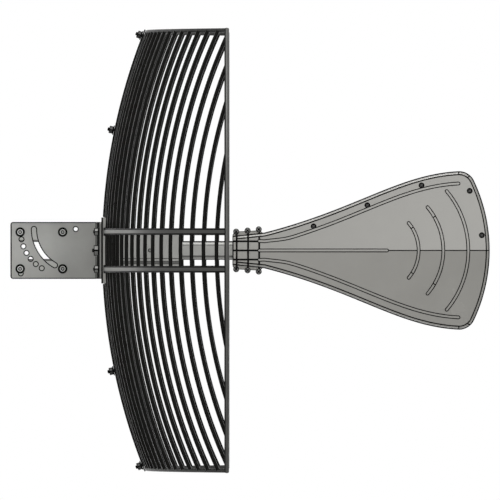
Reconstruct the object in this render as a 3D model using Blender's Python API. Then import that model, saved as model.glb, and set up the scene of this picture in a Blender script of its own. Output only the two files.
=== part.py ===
# Grid parabolic antenna: a two-piece grid reflector with a flat feed housing on a boom, a tilt
# bracket behind it, and toothless V jaws with long bolts that grip an upright mast.
#
# Metres, +Z up. The antenna looks along +X. The bars of the grid run upright, so the dish is
# wider (Y) than tall (Z). Places below are counted from the dish vertex, the deepest point of
# the grid; every piece hangs from one empty there. The world origin is on the axis of the mast.

import math

import bmesh
import bpy
from mathutils import Matrix, Vector

# Reflector: every bar lies in an upright plane and follows one sphere
SPHERE_R = 0.8036
BAR_PITCH = 0.0254
BARS_PER_HALF = 19
BAR_R = 0.003
HALF_HEIGHT = 0.297
RIM_DEPTH = 0.1655
RIM_TUBE_R = 0.0032
RIM_TUBE_END_Z = 0.2982
RIM_R = math.sqrt(SPHERE_R ** 2 - (SPHERE_R - RIM_DEPTH) ** 2)
CENTRE_RIB_Z = 0.0254
CENTRE_RIB_H = 0.0092
BOSS_R = 0.0065
BAR_STEPS = 10
RIB_STEPS = 10
RIM_STEPS = 12
BAR_SAG = SPHERE_R * (1 - math.cos(math.asin(HALF_HEIGHT / SPHERE_R) / BAR_STEPS))

# Clearance between pieces that touch on the real antenna, how far a cutter runs past what it
# cuts, and how far two joined shapes run into each other
GAP = 0.0003
REACH = 0.03
LAP = 0.001
NEAR = 1e-5

# Sheet metal and fasteners
SHEET = 0.0018
BOLT_R = 0.003
HOLE_R = 0.0033
HEAD_H = 0.004
NUT_H = 0.0066
NUT_R = 0.0058
BOLT_TAIL = 0.003
BIG_BOLT_R = 0.004
BIG_NUT_R = 0.0078
BIG_NUT_H = 0.0075
HOLE_SIDES = 10
ROUND_STEPS = 3

# Back plate: a shallow tray behind the grid, bolted to bosses on the two centre ribs
TRAY_FRONT = -BAR_R - GAP
TRAY_BACK = TRAY_FRONT - SHEET
TRAY_HALF_W = 0.050
TRAY_HALF_H = 0.046
TRAY_LIP_X = 0.0014
TRAY_NOTCH_X = -0.0018
BOLT_SQUARE = 0.0254

# Tilt bracket: an L of sheet, its flange on the tray and its side plate beside the mast
BRACKET_T = 0.002
FLANGE_FRONT = TRAY_BACK - GAP
FLANGE_BACK = FLANGE_FRONT - BRACKET_T
FLANGE_LOW_Y = -0.034
BEND_R = 0.0048
BEND_STEPS = 5
PLATE_Y = 0.037
PLATE_END_X = -0.1292
BRACKET_HALF_H = 0.0387
CORNER_R = 0.0036
TILT_R = 0.0568
PIVOT = (-0.0403, 0.0291)
PIVOT_HOLE_R = 0.0034
SLOT_HALF_W = 0.0035
SLOT_SWEEP_DEG = (180.0, 240.0)
SLOT_STEPS = 8
SLOT_END_STEPS = 6
INDEX_HOLES = 6
INDEX_START_DEG = 180.0
INDEX_STEP_DEG = 10.0
LOW_HOLE = (-0.1151, -0.0312)

# Mast clamp: two pairs of V jaws and four long bolts
CLAMP_X = -0.087
CLAMP_SPREAD_X = 0.0289
CLAMP_Z = 0.025
JAW_HALF_L = 0.038
JAW_H = 0.027
JAW_WEB = 0.030
JAW_TIP = 0.012
JAW_SHEET = 0.002
V_BOTTOM = 0.027
V_MOUTH_HALF = 0.0234
MAST_Y = PLATE_Y + BRACKET_T + GAP + JAW_WEB

# Boom, its socket in front of the grid, and the pin across them
BOOM_HALF = 0.0125
BOOM_WALL = 0.002
BOOM_CORNER = 0.004
BOOM_START = 0.026
BOOM_END = 0.210
SOCKET_BACK = 0.0046
SOCKET_FLANGE = 0.005
SOCKET_FLOOR = 0.0197
SOCKET_END = 0.103
SOCKET_HALF_W = 0.019
SOCKET_HALF_H = 0.023
SOCKET_FLANGE_HALF_W = 0.034
SOCKET_FLANGE_HALF_H = 0.030
SOCKET_SPLIT_Z = -0.0109
SOCKET_OPEN_X = 0.0217
PIN_X = 0.0607
PIN_R = 0.0018
PIN_HALF_L = 0.0196

# Feed housing: two flat half shells that close on the plane of the boom
NECK_X = 0.1729
NECK_HALF_H = 0.020
FUNNEL = ((0.2166, 0.0244), (0.3429, 0.0566), (0.3989, 0.1039), (0.4808, 0.1078))
FUNNEL_STEPS = 8
FUNNEL_SAMPLES = 60
CORNER_ARC_R = 0.0228
CORNER_STEPS = 4
FRONT_R = 0.222
TIP_X = 0.5229
FRONT_STEPS = 5
RIDGE_H = 0.017
SLOPE_AT_NECK = 0.01
SLOPE_AT_TIP = 0.085
SHELL_BEVEL = 0.004
SEAM = 0.00015
SEAM_TRIM = 0.002
FLAT_TOP = 0.010
ROOF_STEPS = 6
RAISED = 0.0012
RAISED_W = 0.004
RAISED_ROOT = 0.0075
SIDE_RIB_END = 0.4803
SIDE_RIB_STEPS = 10
SIDE_RIB_INSET = (0.0116, 0.0168)
SIDE_RIB_EASE = 0.045
CENTRE_RAISED_END = 0.3831
WAVE_X = 0.368
WAVE_RADII = (0.058, 0.0915, 0.1255)
WAVE_HALF_DEG = 40.0
WAVE_STEPS = 6

# Neck collar of each half shell: a thin flange, three pairs of screw bosses and a lattice of ribs
COLLAR_CORNERS = ((0.1732, 0.0216), (0.1759, 0.0256), (0.2105, 0.0274), (0.2145, 0.0235))
COLLAR_FLANGE_T = 0.006
BOSS_SPOTS = ((0.1780, 0.0256), (0.1935, 0.0270), (0.2087, 0.0287))
NECK_BOSS_R = 0.0033
NECK_BOSS_H = 0.010
COLLAR_RIB_X = (0.1787, 0.1942, 0.2093)
COLLAR_RIB_Z = (-0.0124, 0.0, 0.0124)
COLLAR_RIB_W = 0.0023
COLLAR_RIB_SIDE = ((0.002, 0.0256), (0.009, 0.0256), (0.019, 0.0195))
COLLAR_RIB_TOP = COLLAR_RIB_SIDE[-1][0]

# Joint down the middle of the reflector: a channel behind the two middle bars, above and below
CHANNEL_HALF_W = 0.0173
CHANNEL_SHEET = 0.0012
CHANNEL_LIP = 0.0027
CHANNEL_Z = (0.0468, 0.2988)
CHANNEL_LIP_TOP_Z = 0.2910
CHANNEL_STEPS = 10
SPLICE_Z = (0.1624, 0.2902)
SPLICE_HALF_W = 0.017
SPLICE_HALF_L = 0.008
SPLICE_SHEET = 0.002

COLOURS = {
    "grid": ((0.085, 0.085, 0.085), 0.45, 0.6),
    "bracket": ((0.30, 0.30, 0.28), 0.42, 0.85),
    "clamp": ((0.22, 0.22, 0.21), 0.45, 0.85),
    "steel": ((0.36, 0.36, 0.35), 0.35, 1.0),
    "boom": ((0.42, 0.42, 0.40), 0.38, 0.9),
    "socket": ((0.34, 0.34, 0.32), 0.55, 0.0),
    "feed": ((0.36, 0.36, 0.335), 0.5, 0.0),
}


def clear_scene():
    for obj in list(bpy.data.objects):
        bpy.data.objects.remove(obj, do_unlink=True)


def make_material(name):
    colour, roughness, metallic = COLOURS[name]
    material = bpy.data.materials.new(name)
    material.use_nodes = True
    shader = material.node_tree.nodes["Principled BSDF"]
    shader.inputs["Base Color"].default_value = (*colour, 1.0)
    shader.inputs["Roughness"].default_value = roughness
    shader.inputs["Metallic"].default_value = metallic
    return material


def add_vertex_empty():
    # Everything is placed from the dish vertex, which lies beside and in front of the mast
    empty = bpy.data.objects.new("dish_vertex", None)
    empty.location = (-CLAMP_X, -MAST_Y, 0.0)
    bpy.context.scene.collection.objects.link(empty)
    return empty


def add_piece(name, mesh, finish, place=None):
    # One named object per piece, with a material of its own
    obj = bpy.data.objects.new(name, mesh)
    bpy.context.scene.collection.objects.link(obj)
    obj.parent = bpy.data.objects["dish_vertex"]
    if place is not None:
        obj.matrix_local = place
    mesh.materials.clear()
    mesh.materials.append(make_material(finish))
    return obj


def add_guide(name, mesh, place=None):
    # A shape that only cuts or joins, and isn't a piece
    obj = bpy.data.objects.new(name, mesh)
    bpy.context.scene.collection.objects.link(obj)
    obj.parent = bpy.data.objects["dish_vertex"]
    if place is not None:
        obj.matrix_local = place
    obj.hide_render = True
    obj.display_type = "WIRE"
    return obj


def combine(obj, operation, guides):
    for guide in guides:
        modifier = obj.modifiers.new(guide.name, "BOOLEAN")
        modifier.operation = operation
        modifier.object = guide
        modifier.solver = "EXACT"


def fuse(obj, guides):
    combine(obj, "UNION", guides)


def cut(obj, guides):
    combine(obj, "DIFFERENCE", guides)


def finish_mesh(bm, name):
    bmesh.ops.recalc_face_normals(bm, faces=bm.faces)
    mesh = bpy.data.meshes.new(name)
    bm.to_mesh(mesh)
    bm.free()
    return mesh


def prism(name, outline, axis, low, high):
    # A flat outline pushed along one axis. The outline's two numbers are the other two axes in order
    order = {"X": (2, 0, 1), "Y": (0, 2, 1), "Z": (0, 1, 2)}[axis]

    def at(a, b, c):
        triple = (a, b, c)
        return Vector(triple[i] for i in order)

    bm = bmesh.new()
    base = bm.faces.new([bm.verts.new(at(a, b, low)) for a, b in outline])
    grown = bmesh.ops.extrude_face_region(bm, geom=[base], use_keep_orig=True)
    moved = [v for v in grown["geom"] if isinstance(v, bmesh.types.BMVert)]
    bmesh.ops.translate(bm, verts=moved, vec=at(0.0, 0.0, high - low))
    return finish_mesh(bm, name)


def box(name, low, high):
    outline = [(low[0], low[1]), (high[0], low[1]), (high[0], high[1]), (low[0], high[1])]
    return prism(name, outline, "Z", low[2], high[2])


def rod(name, start, end, radius, sides=HOLE_SIDES):
    # A straight round bar between two points
    start = Vector(start)
    run = Vector(end) - start
    bm = bmesh.new()
    bmesh.ops.create_cone(bm, cap_ends=True, segments=sides, radius1=radius, radius2=radius, depth=run.length)
    turn = run.to_track_quat("Z", "Y").to_matrix().to_4x4()
    bmesh.ops.transform(bm, matrix=Matrix.Translation(start + run / 2) @ turn, verts=bm.verts)
    return finish_mesh(bm, name)


def tubes(name, paths, radius, resolution=1):
    # Bent bars: a curve with a round bevel, turned into a mesh
    curve = bpy.data.curves.new(name, "CURVE")
    curve.dimensions = "3D"
    curve.bevel_depth = radius
    curve.bevel_resolution = resolution
    curve.use_fill_caps = True
    for path in paths:
        spline = curve.splines.new("POLY")
        spline.points.add(len(path) - 1)
        for point, place in zip(spline.points, path):
            point.co = (*place, 1.0)
    holder = bpy.data.objects.new(name, curve)
    mesh = bpy.data.meshes.new_from_object(holder)
    bpy.data.objects.remove(holder)
    bm = bmesh.new()
    bm.from_mesh(mesh)
    bmesh.ops.remove_doubles(bm, verts=bm.verts, dist=1e-6)
    return finish_mesh(bm, name)


def spun_band(name, profile, centre, axis, start, end, steps):
    # A section swung about an axis, for strips that follow the sphere
    bm = bmesh.new()
    face = bm.faces.new([bm.verts.new(Vector(p)) for p in profile])
    bmesh.ops.rotate(bm, verts=bm.verts, cent=centre, matrix=Matrix.Rotation(start, 3, axis))
    bmesh.ops.spin(
        bm, geom=[face], cent=centre, axis=axis, angle=end - start, steps=steps, use_duplicate=False
    )
    return finish_mesh(bm, name)


def round_edges(bm, edges, offset, segments):
    bmesh.ops.bevel(
        bm, geom=edges, offset=offset, segments=segments, profile=0.5, affect="EDGES", material=-1
    )


def arc(centre, radius, start_deg, end_deg, steps):
    angles = [math.radians(start_deg + (end_deg - start_deg) * i / steps) for i in range(steps + 1)]
    return [(centre[0] + radius * math.cos(a), centre[1] + radius * math.sin(a)) for a in angles]


def bar_paths(side):
    # Upright bars, each an arc in its own plane, from the lower edge of the grid to the upper
    paths = []
    for k in range(BARS_PER_HALF):
        y = side * (k + 0.5) * BAR_PITCH
        top = min(HALF_HEIGHT, math.sqrt(RIM_R ** 2 - y ** 2))
        radius = math.sqrt(SPHERE_R ** 2 - y ** 2)
        reach = math.asin(top / radius)
        turns = [reach * (2 * i / BAR_STEPS - 1) for i in range(BAR_STEPS + 1)]
        paths.append([(SPHERE_R - radius * math.cos(t), y, radius * math.sin(t)) for t in turns])
    return paths


def edge_rib_path(side, z):
    # The rib along the upper or lower edge, from the middle of the grid to the rim
    radius = math.sqrt(SPHERE_R ** 2 - z ** 2)
    first = math.asin(GAP / 2 / radius)
    last = math.asin(math.sqrt(RIM_R ** 2 - z ** 2) / radius)
    turns = [first + (last - first) * i / RIB_STEPS for i in range(RIB_STEPS + 1)]
    return [(SPHERE_R - radius * math.cos(t), side * radius * math.sin(t), z) for t in turns]


def rim_path(side):
    # The round side of the rim, in one plane across the mouth of the dish
    reach = math.asin(RIM_TUBE_END_Z / RIM_R)
    turns = [reach * (2 * i / RIM_STEPS - 1) for i in range(RIM_STEPS + 1)]
    return [(RIM_DEPTH, side * RIM_R * math.cos(t), RIM_R * math.sin(t)) for t in turns]


def centre_rib(name, side, z):
    # A flat-sided rib between the middle of the grid and the rim, at one height
    radius = math.sqrt(SPHERE_R ** 2 - z ** 2)
    low = z - CENTRE_RIB_H / 2
    high = z + CENTRE_RIB_H / 2
    inner = SPHERE_R - radius + BAR_R
    outer = SPHERE_R - radius - BAR_R
    profile = [(outer, 0, low), (inner, 0, low), (inner, 0, high), (outer, 0, high)]
    first = math.asin(GAP / 2 / radius)
    last = math.asin(math.sqrt(RIM_R ** 2 - z ** 2) / radius)
    return spun_band(name, profile, (SPHERE_R, 0, 0), (0, 0, 1), -side * first, -side * last, RIB_STEPS)


def grid_half(name, side):
    grid = add_piece(name, tubes(name, bar_paths(side), BAR_R), "grid")
    parts = []
    for word, z in (("upper", HALF_HEIGHT), ("lower", -HALF_HEIGHT)):
        edge = tubes(f"{name}_{word}_edge", [edge_rib_path(side, z)], BAR_R)
        parts.append(add_guide(f"{name}_{word}_edge", edge))
    parts.append(add_guide(f"{name}_rim", tubes(f"{name}_rim", [rim_path(side)], RIM_TUBE_R)))
    holes = []
    for word, z in (("upper", CENTRE_RIB_Z), ("lower", -CENTRE_RIB_Z)):
        parts.append(add_guide(f"{name}_{word}_rib", centre_rib(f"{name}_{word}_rib", side, z)))
        y = side * BOLT_SQUARE
        boss = rod(f"{name}_{word}_boss", (-BAR_R, y, z), (SOCKET_BACK - GAP, y, z), BOSS_R)
        parts.append(add_guide(f"{name}_{word}_boss", boss))
        hole = rod(f"{name}_{word}_hole", (-REACH, y, z), (REACH, y, z), HOLE_R)
        holes.append(add_guide(f"{name}_{word}_hole", hole))
    fuse(grid, parts)
    cut(grid, holes)
    return grid


def joint_channel(name, sign):
    # A pressed channel whose web lies behind the two middle bars and whose lips reach round them
    back = -BAR_R - GAP - CHANNEL_SHEET
    web = -BAR_R - GAP
    lip = web + CHANNEL_LIP
    half = CHANNEL_HALF_W
    inner = CHANNEL_HALF_W - CHANNEL_SHEET
    profile = [
        (back, -half, 0), (lip, -half, 0), (lip, -inner, 0), (web, -inner, 0),
        (web, inner, 0), (lip, inner, 0), (lip, half, 0), (back, half, 0),
    ]
    start, end = (sign * math.asin(z / SPHERE_R) for z in CHANNEL_Z)
    mesh = spun_band(name, profile, (SPHERE_R, 0, 0), (0, 1, 0), start, end, CHANNEL_STEPS)
    channel = add_piece(name, mesh, "bracket")
    # The lips stop short of the edge rib, and the bolts go through the web
    low, high = sorted((0.0, sign * REACH))
    trim = box("trim", (web + GAP / 2, -REACH, low), (REACH, REACH, high))
    cutters = [add_guide(f"{name}_trim", trim, splice_place(sign * CHANNEL_LIP_TOP_Z))]
    for count, z in enumerate(SPLICE_Z):
        hole = rod("hole", (-REACH, 0, 0), (REACH, 0, 0), HOLE_R)
        cutters.append(add_guide(f"{name}_hole_{count + 1}", hole, splice_place(sign * z)))
    cut(channel, cutters)


def splice_place(z):
    # On the sphere at a height in the middle plane, with +X along the normal into the dish
    turn = math.asin(z / SPHERE_R)
    spot = Vector((SPHERE_R - SPHERE_R * math.cos(turn), 0.0, z))
    return Matrix.Translation(spot) @ Matrix.Rotation(turn, 4, "Y")


def stack(name, steps, sides=6):
    # A turned or six-sided part: a disc pushed along +X, its radius changing at each step
    bm = bmesh.new()
    first_x, first_r = steps[0]
    bmesh.ops.create_circle(bm, cap_ends=True, radius=first_r, segments=sides)
    bmesh.ops.rotate(bm, verts=bm.verts, matrix=Matrix.Rotation(math.pi / 2, 3, "Y"))
    bmesh.ops.translate(bm, verts=bm.verts, vec=(first_x, 0, 0))
    end = bm.faces[:]
    x, radius = first_x, first_r
    for index, (next_x, next_r) in enumerate(steps[1:]):
        keep = index == 0
        grown = bmesh.ops.extrude_face_region(bm, geom=end, use_keep_orig=keep)
        if not keep:
            bmesh.ops.delete(bm, geom=end, context="FACES_ONLY")
        verts = [v for v in grown["geom"] if isinstance(v, bmesh.types.BMVert)]
        end = [f for f in grown["geom"] if isinstance(f, bmesh.types.BMFace)]
        bmesh.ops.translate(bm, verts=verts, vec=(next_x - x, 0, 0))
        scale = next_r / radius
        bmesh.ops.scale(bm, verts=verts, vec=(1, scale, scale))
        x, radius = next_x, next_r
    return finish_mesh(bm, name)


def fastener(name, place, grip, bolt_r=BOLT_R, nut_r=NUT_R, nut_h=NUT_H, tail=BOLT_TAIL):
    # Head behind zero, the grip along +X, then the nut and the end of the thread
    steps = [
        (-HEAD_H, nut_r), (0, nut_r), (0, bolt_r), (grip, bolt_r), (grip, nut_r),
        (grip + nut_h, nut_r), (grip + nut_h, bolt_r), (grip + nut_h + tail, bolt_r),
    ]
    return add_piece(name, stack(name, steps), "steel", place)


def pointing(spot, direction):
    # A place whose +X looks along a direction
    turn = Vector(direction).to_track_quat("X", "Z").to_matrix().to_4x4()
    return Matrix.Translation(Vector(spot)) @ turn


def splices():
    # Each bolt pulls a small plate in front of the two middle bars and the channel behind together
    seat = BAR_R + BAR_SAG + 2 * GAP
    front = seat + SPLICE_SHEET + GAP
    back = BAR_R + GAP + CHANNEL_SHEET + GAP
    names = ("inner", "outer")
    for word, sign in (("upper", 1), ("lower", -1)):
        for label, z in zip(names, SPLICE_Z):
            place = splice_place(sign * z)
            low = (seat, -SPLICE_HALF_W, -SPLICE_HALF_L)
            high = (seat + SPLICE_SHEET, SPLICE_HALF_W, SPLICE_HALF_L)
            name = f"splice_plate_{word}_{label}"
            plate = add_piece(name, box(name, low, high), "bracket", place)
            hole = rod("hole", (-REACH, 0, 0), (REACH, 0, 0), HOLE_R)
            cut(plate, [add_guide(f"{name}_hole", hole, place)])
            bolt_place = place @ pointing((front, 0, 0), (-1, 0, 0))
            fastener(f"splice_bolt_{word}_{label}", bolt_place, front + back)


def back_plate():
    outline = [
        (TRAY_BACK, -TRAY_HALF_W), (TRAY_LIP_X, -TRAY_HALF_W),
        (TRAY_LIP_X, -TRAY_HALF_W + SHEET), (TRAY_FRONT, -TRAY_HALF_W + SHEET),
        (TRAY_FRONT, TRAY_HALF_W - SHEET), (TRAY_LIP_X, TRAY_HALF_W - SHEET),
        (TRAY_LIP_X, TRAY_HALF_W), (TRAY_BACK, TRAY_HALF_W),
    ]
    name = "back_plate"
    mesh = prism(name, outline, "Z", -TRAY_HALF_H, TRAY_HALF_H)
    plate = add_piece(name, mesh, "bracket")
    cutters = []
    clear = CENTRE_RIB_H / 2 + 2 * GAP
    for word, z in (("upper", CENTRE_RIB_Z), ("lower", -CENTRE_RIB_Z)):
        low = (TRAY_NOTCH_X, -TRAY_HALF_W - REACH, z - clear)
        notch = box("notch", low, (REACH, TRAY_HALF_W + REACH, z + clear))
        cutters.append(add_guide(f"{name}_{word}_notch", notch))
    cutters += mounting_holes(name)
    cut(plate, cutters)


def mounting_holes(name):
    # Four small holes at the corners of a square and a larger one in the middle
    holes = []
    for y in (-BOLT_SQUARE, BOLT_SQUARE):
        for z in (-CENTRE_RIB_Z, CENTRE_RIB_Z):
            hole = rod("hole", (-REACH, y, z), (REACH, y, z), HOLE_R)
            holes.append(add_guide(f"{name}_hole_{len(holes) + 1}", hole))
    middle = rod("hole", (-REACH, 0, 0), (REACH, 0, 0), BIG_BOLT_R + GAP)
    holes.append(add_guide(f"{name}_hole_middle", middle))
    return holes


def tilt_bracket():
    bend = (FLANGE_BACK - BEND_R, PLATE_Y - BEND_R)
    outline = [(FLANGE_BACK, FLANGE_LOW_Y), (FLANGE_FRONT, FLANGE_LOW_Y)]
    outline += arc(bend, BEND_R + BRACKET_T, 0, 90, BEND_STEPS)
    outline += [(PLATE_END_X, PLATE_Y + BRACKET_T), (PLATE_END_X, PLATE_Y)]
    outline += arc(bend, BEND_R, 90, 0, BEND_STEPS)
    name = "tilt_bracket"
    mesh = prism(name, outline, "Z", -BRACKET_HALF_H, BRACKET_HALF_H)
    round_end_corners(mesh)
    bracket = add_piece(name, mesh, "bracket")
    cut(bracket, plate_cutters(name) + mounting_holes(name))


def round_end_corners(mesh):
    # The two free corners of the side plate and of the flange
    bm = bmesh.new()
    bm.from_mesh(mesh)
    picked = []
    for edge in bm.edges:
        a, b = (v.co for v in edge.verts)
        at_height = abs(abs(a.z) - BRACKET_HALF_H) < NEAR and abs(a.z - b.z) < NEAR
        at_end = max(a.x, b.x) < PLATE_END_X + NEAR or max(a.y, b.y) < FLANGE_LOW_Y + NEAR
        if at_height and at_end:
            picked.append(edge)
    round_edges(bm, picked, CORNER_R, ROUND_STEPS)
    bmesh.ops.recalc_face_normals(bm, faces=bm.faces)
    bm.to_mesh(mesh)
    bm.free()


def plate_hole(name, x, z, radius):
    mesh = rod("hole", (x, PLATE_Y - REACH, z), (x, PLATE_Y + REACH, z), radius)
    return add_guide(name, mesh)


def plate_cutters(name):
    # Clamp bolt holes, the pivot hole with its curved slot, the row of index holes, and one
    # more hole that runs into the lower rear clamp hole
    cutters = [plate_hole(f"{name}_pivot", *PIVOT, PIVOT_HOLE_R)]
    for x in (CLAMP_X - CLAMP_SPREAD_X, CLAMP_X + CLAMP_SPREAD_X):
        for z in (-CLAMP_Z, CLAMP_Z):
            cutters.append(plate_hole(f"{name}_clamp_{len(cutters)}", x, z, HOLE_R))
    hub = (CLAMP_X + CLAMP_SPREAD_X, CLAMP_Z)
    for count in range(1, INDEX_HOLES + 1):
        angle = math.radians(INDEX_START_DEG + INDEX_STEP_DEG * count)
        x = hub[0] + TILT_R * math.cos(angle)
        z = hub[1] + TILT_R * math.sin(angle)
        cutters.append(plate_hole(f"{name}_index_{count}", x, z, HOLE_R))
    cutters.append(plate_hole(f"{name}_low", *LOW_HOLE, HOLE_R))
    cutters.append(add_guide(f"{name}_slot", slot_mesh()))
    return cutters


def slot_mesh():
    start, end = SLOT_SWEEP_DEG
    first = end_point(start)
    last = end_point(end)
    outline = arc(PIVOT, TILT_R + SLOT_HALF_W, start, end, SLOT_STEPS)
    outline += arc(last, SLOT_HALF_W, end, end + 180, SLOT_END_STEPS)[1:-1]
    outline += arc(PIVOT, TILT_R - SLOT_HALF_W, end, start, SLOT_STEPS)
    outline += arc(first, SLOT_HALF_W, start + 180, start + 360, SLOT_END_STEPS)[1:-1]
    return prism("slot", outline, "Y", PLATE_Y - REACH, PLATE_Y + REACH)


def end_point(angle_deg):
    angle = math.radians(angle_deg)
    return (PIVOT[0] + TILT_R * math.cos(angle), PIVOT[1] + TILT_R * math.sin(angle))


def jaw(name, side, z):
    # A channel on its side, its two flanges notched in a V for the mast. side is -1 next to the plate
    def across(distance):
        return MAST_Y + side * distance

    outline = [
        (CLAMP_X - JAW_HALF_L, across(JAW_WEB)), (CLAMP_X + JAW_HALF_L, across(JAW_WEB)),
        (CLAMP_X + JAW_HALF_L, across(JAW_TIP)), (CLAMP_X + V_MOUTH_HALF, across(JAW_TIP)),
        (CLAMP_X + V_MOUTH_HALF - (V_BOTTOM - JAW_TIP), across(V_BOTTOM)),
        (CLAMP_X - V_MOUTH_HALF + (V_BOTTOM - JAW_TIP), across(V_BOTTOM)),
        (CLAMP_X - V_MOUTH_HALF, across(JAW_TIP)), (CLAMP_X - JAW_HALF_L, across(JAW_TIP)),
    ]
    piece = add_piece(name, prism(name, outline, "Z", z - JAW_H / 2, z + JAW_H / 2), "clamp")
    inner = sorted((across(JAW_WEB - JAW_SHEET), across(JAW_TIP - REACH)))
    half = JAW_H / 2 - JAW_SHEET
    low = (CLAMP_X - JAW_HALF_L - REACH, inner[0], z - half)
    high = (CLAMP_X + JAW_HALF_L + REACH, inner[1], z + half)
    cutters = [add_guide(f"{name}_inside", box("inside", low, high))]
    for x in (CLAMP_X - CLAMP_SPREAD_X, CLAMP_X + CLAMP_SPREAD_X):
        hole = rod("hole", (x, across(JAW_WEB + REACH), z), (x, across(JAW_TIP), z), HOLE_R)
        cutters.append(add_guide(f"{name}_hole_{len(cutters)}", hole))
    cut(piece, cutters)


def mast_clamp():
    grip = (MAST_Y + JAW_WEB + GAP) - (PLATE_Y - GAP)
    for word, z in (("upper", CLAMP_Z), ("lower", -CLAMP_Z)):
        jaw(f"mast_jaw_{word}_inner", -1, z)
        jaw(f"mast_jaw_{word}_outer", 1, z)
        for end, x in (("rear", CLAMP_X - CLAMP_SPREAD_X), ("front", CLAMP_X + CLAMP_SPREAD_X)):
            place = pointing((x, MAST_Y + JAW_WEB + GAP, z), (0, -1, 0))
            fastener(f"clamp_bolt_{word}_{end}", place, grip)


def flange_bolts():
    # Heads inside the dish on the socket's flange, nuts behind on the bracket
    head_x = SOCKET_BACK + SOCKET_FLANGE + GAP
    grip = head_x - (FLANGE_BACK - GAP)
    for word, z in (("upper", CENTRE_RIB_Z), ("lower", -CENTRE_RIB_Z)):
        for side, y in (("left", BOLT_SQUARE), ("right", -BOLT_SQUARE)):
            fastener(f"frame_bolt_{word}_{side}", pointing((head_x, y, z), (-1, 0, 0)), grip)
    floor = SOCKET_FLOOR + GAP
    fastener(
        "socket_bolt", pointing((floor, 0, 0), (-1, 0, 0)), floor - (FLANGE_BACK - GAP),
        bolt_r=BIG_BOLT_R, nut_r=BIG_NUT_R, nut_h=BIG_NUT_H,
    )


def boom_socket():
    flange_low = (SOCKET_BACK, -SOCKET_FLANGE_HALF_W, -SOCKET_FLANGE_HALF_H)
    flange_high = (SOCKET_BACK + SOCKET_FLANGE, SOCKET_FLANGE_HALF_W, SOCKET_FLANGE_HALF_H)
    body = add_piece("boom_socket", box("boom_socket", flange_low, flange_high), "socket")
    low = (SOCKET_BACK + LAP, -SOCKET_HALF_W, -SOCKET_HALF_H)
    block = box("block", low, (SOCKET_END, SOCKET_HALF_W, SOCKET_HALF_H))
    fuse(body, [add_guide("boom_socket_block", block)])
    bore = BOOM_HALF + GAP
    bore_box = box("bore", (SOCKET_FLOOR, -bore, -bore), (SOCKET_END + REACH, bore, bore))
    bore_guide = add_guide("boom_socket_bore", bore_box)
    open_low = (SOCKET_OPEN_X, -SOCKET_HALF_W - REACH, -SOCKET_HALF_H - REACH)
    open_high = (SOCKET_END + REACH, SOCKET_HALF_W + REACH, SOCKET_SPLIT_Z)
    open_guide = add_guide("boom_socket_open", box("open", open_low, open_high))
    pin_guide = add_guide("boom_socket_pin", pin_rod(PIN_R + GAP))
    cut(body, [bore_guide, open_guide, pin_guide] + mounting_holes("boom_socket"))
    cap_low = (SOCKET_OPEN_X + GAP, -SOCKET_HALF_W, -SOCKET_HALF_H)
    cap_high = (SOCKET_END, SOCKET_HALF_W, SOCKET_SPLIT_Z - GAP)
    cap = add_piece("boom_socket_cap", box("boom_socket_cap", cap_low, cap_high), "socket")
    cut(cap, [bore_guide])


def pin_rod(radius):
    return rod("pin", (PIN_X, -PIN_HALF_L, 0), (PIN_X, PIN_HALF_L, 0), radius)


def boom():
    low = (BOOM_START, -BOOM_HALF, -BOOM_HALF)
    high = (BOOM_END, BOOM_HALF, BOOM_HALF)
    mesh = box("boom_tube", low, high)
    bm = bmesh.new()
    bm.from_mesh(mesh)
    long_edges = [e for e in bm.edges if abs(e.verts[0].co.x - e.verts[1].co.x) > NEAR]
    round_edges(bm, long_edges, BOOM_CORNER, ROUND_STEPS)
    bmesh.ops.recalc_face_normals(bm, faces=bm.faces)
    bm.to_mesh(mesh)
    bm.free()
    tube = add_piece("boom_tube", mesh, "boom")
    inner = BOOM_HALF - BOOM_WALL
    hollow = box("hollow", (BOOM_START - REACH, -inner, -inner), (BOOM_END + REACH, inner, inner))
    pin_hole = add_guide("boom_tube_pin", pin_rod(PIN_R + GAP))
    cut(tube, [add_guide("boom_tube_hollow", hollow), pin_hole])
    add_piece("boom_pin", pin_rod(PIN_R), "steel")


def bezier(points, t):
    a, b, c, d = (Vector(p) for p in points)
    s = 1 - t
    return s ** 3 * a + 3 * s * s * t * b + 3 * s * t * t * c + t ** 3 * d


def upper_outline():
    # From the neck along the funnel, round the corner and along the front to the tip
    points = [(NECK_X, NECK_HALF_H)]
    points += [tuple(bezier(FUNNEL, i / FUNNEL_STEPS)) for i in range(FUNNEL_STEPS + 1)]
    end_x, end_z = FUNNEL[-1]
    front_centre = (TIP_X - FRONT_R, 0.0)
    corner_centre = (end_x, end_z - CORNER_ARC_R)
    meet = math.degrees(math.atan2(corner_centre[1], corner_centre[0] - front_centre[0]))
    points += arc(corner_centre, CORNER_ARC_R, 90, meet, CORNER_STEPS)[1:]
    reach = math.dist(corner_centre, front_centre) + CORNER_ARC_R
    front = arc(front_centre, reach, meet, 0, FRONT_STEPS)[1:]
    return points + front


def shell_outline():
    upper = upper_outline()
    lower = [(x, -z) for x, z in reversed(upper[:-1])]
    return upper + lower


def outline_height(x):
    # Height of the funnel's edge at a distance along the boom
    samples = [bezier(FUNNEL, i / FUNNEL_SAMPLES) for i in range(FUNNEL_SAMPLES + 1)]
    for a, b in zip(samples, samples[1:]):
        if a.x <= x <= b.x:
            return a.y + (b.y - a.y) * (x - a.x) / (b.x - a.x)
    return samples[0].y if x < samples[0].x else samples[-1].y


def shell_height(x, z):
    # Flat at the neck, and a low roof with its ridge on the boom's line towards the tip
    share = (x - NECK_X) / (TIP_X - NECK_X)
    slope = SLOPE_AT_NECK + (SLOPE_AT_TIP - SLOPE_AT_NECK) * share
    return RIDGE_H - slope * abs(z)


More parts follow.
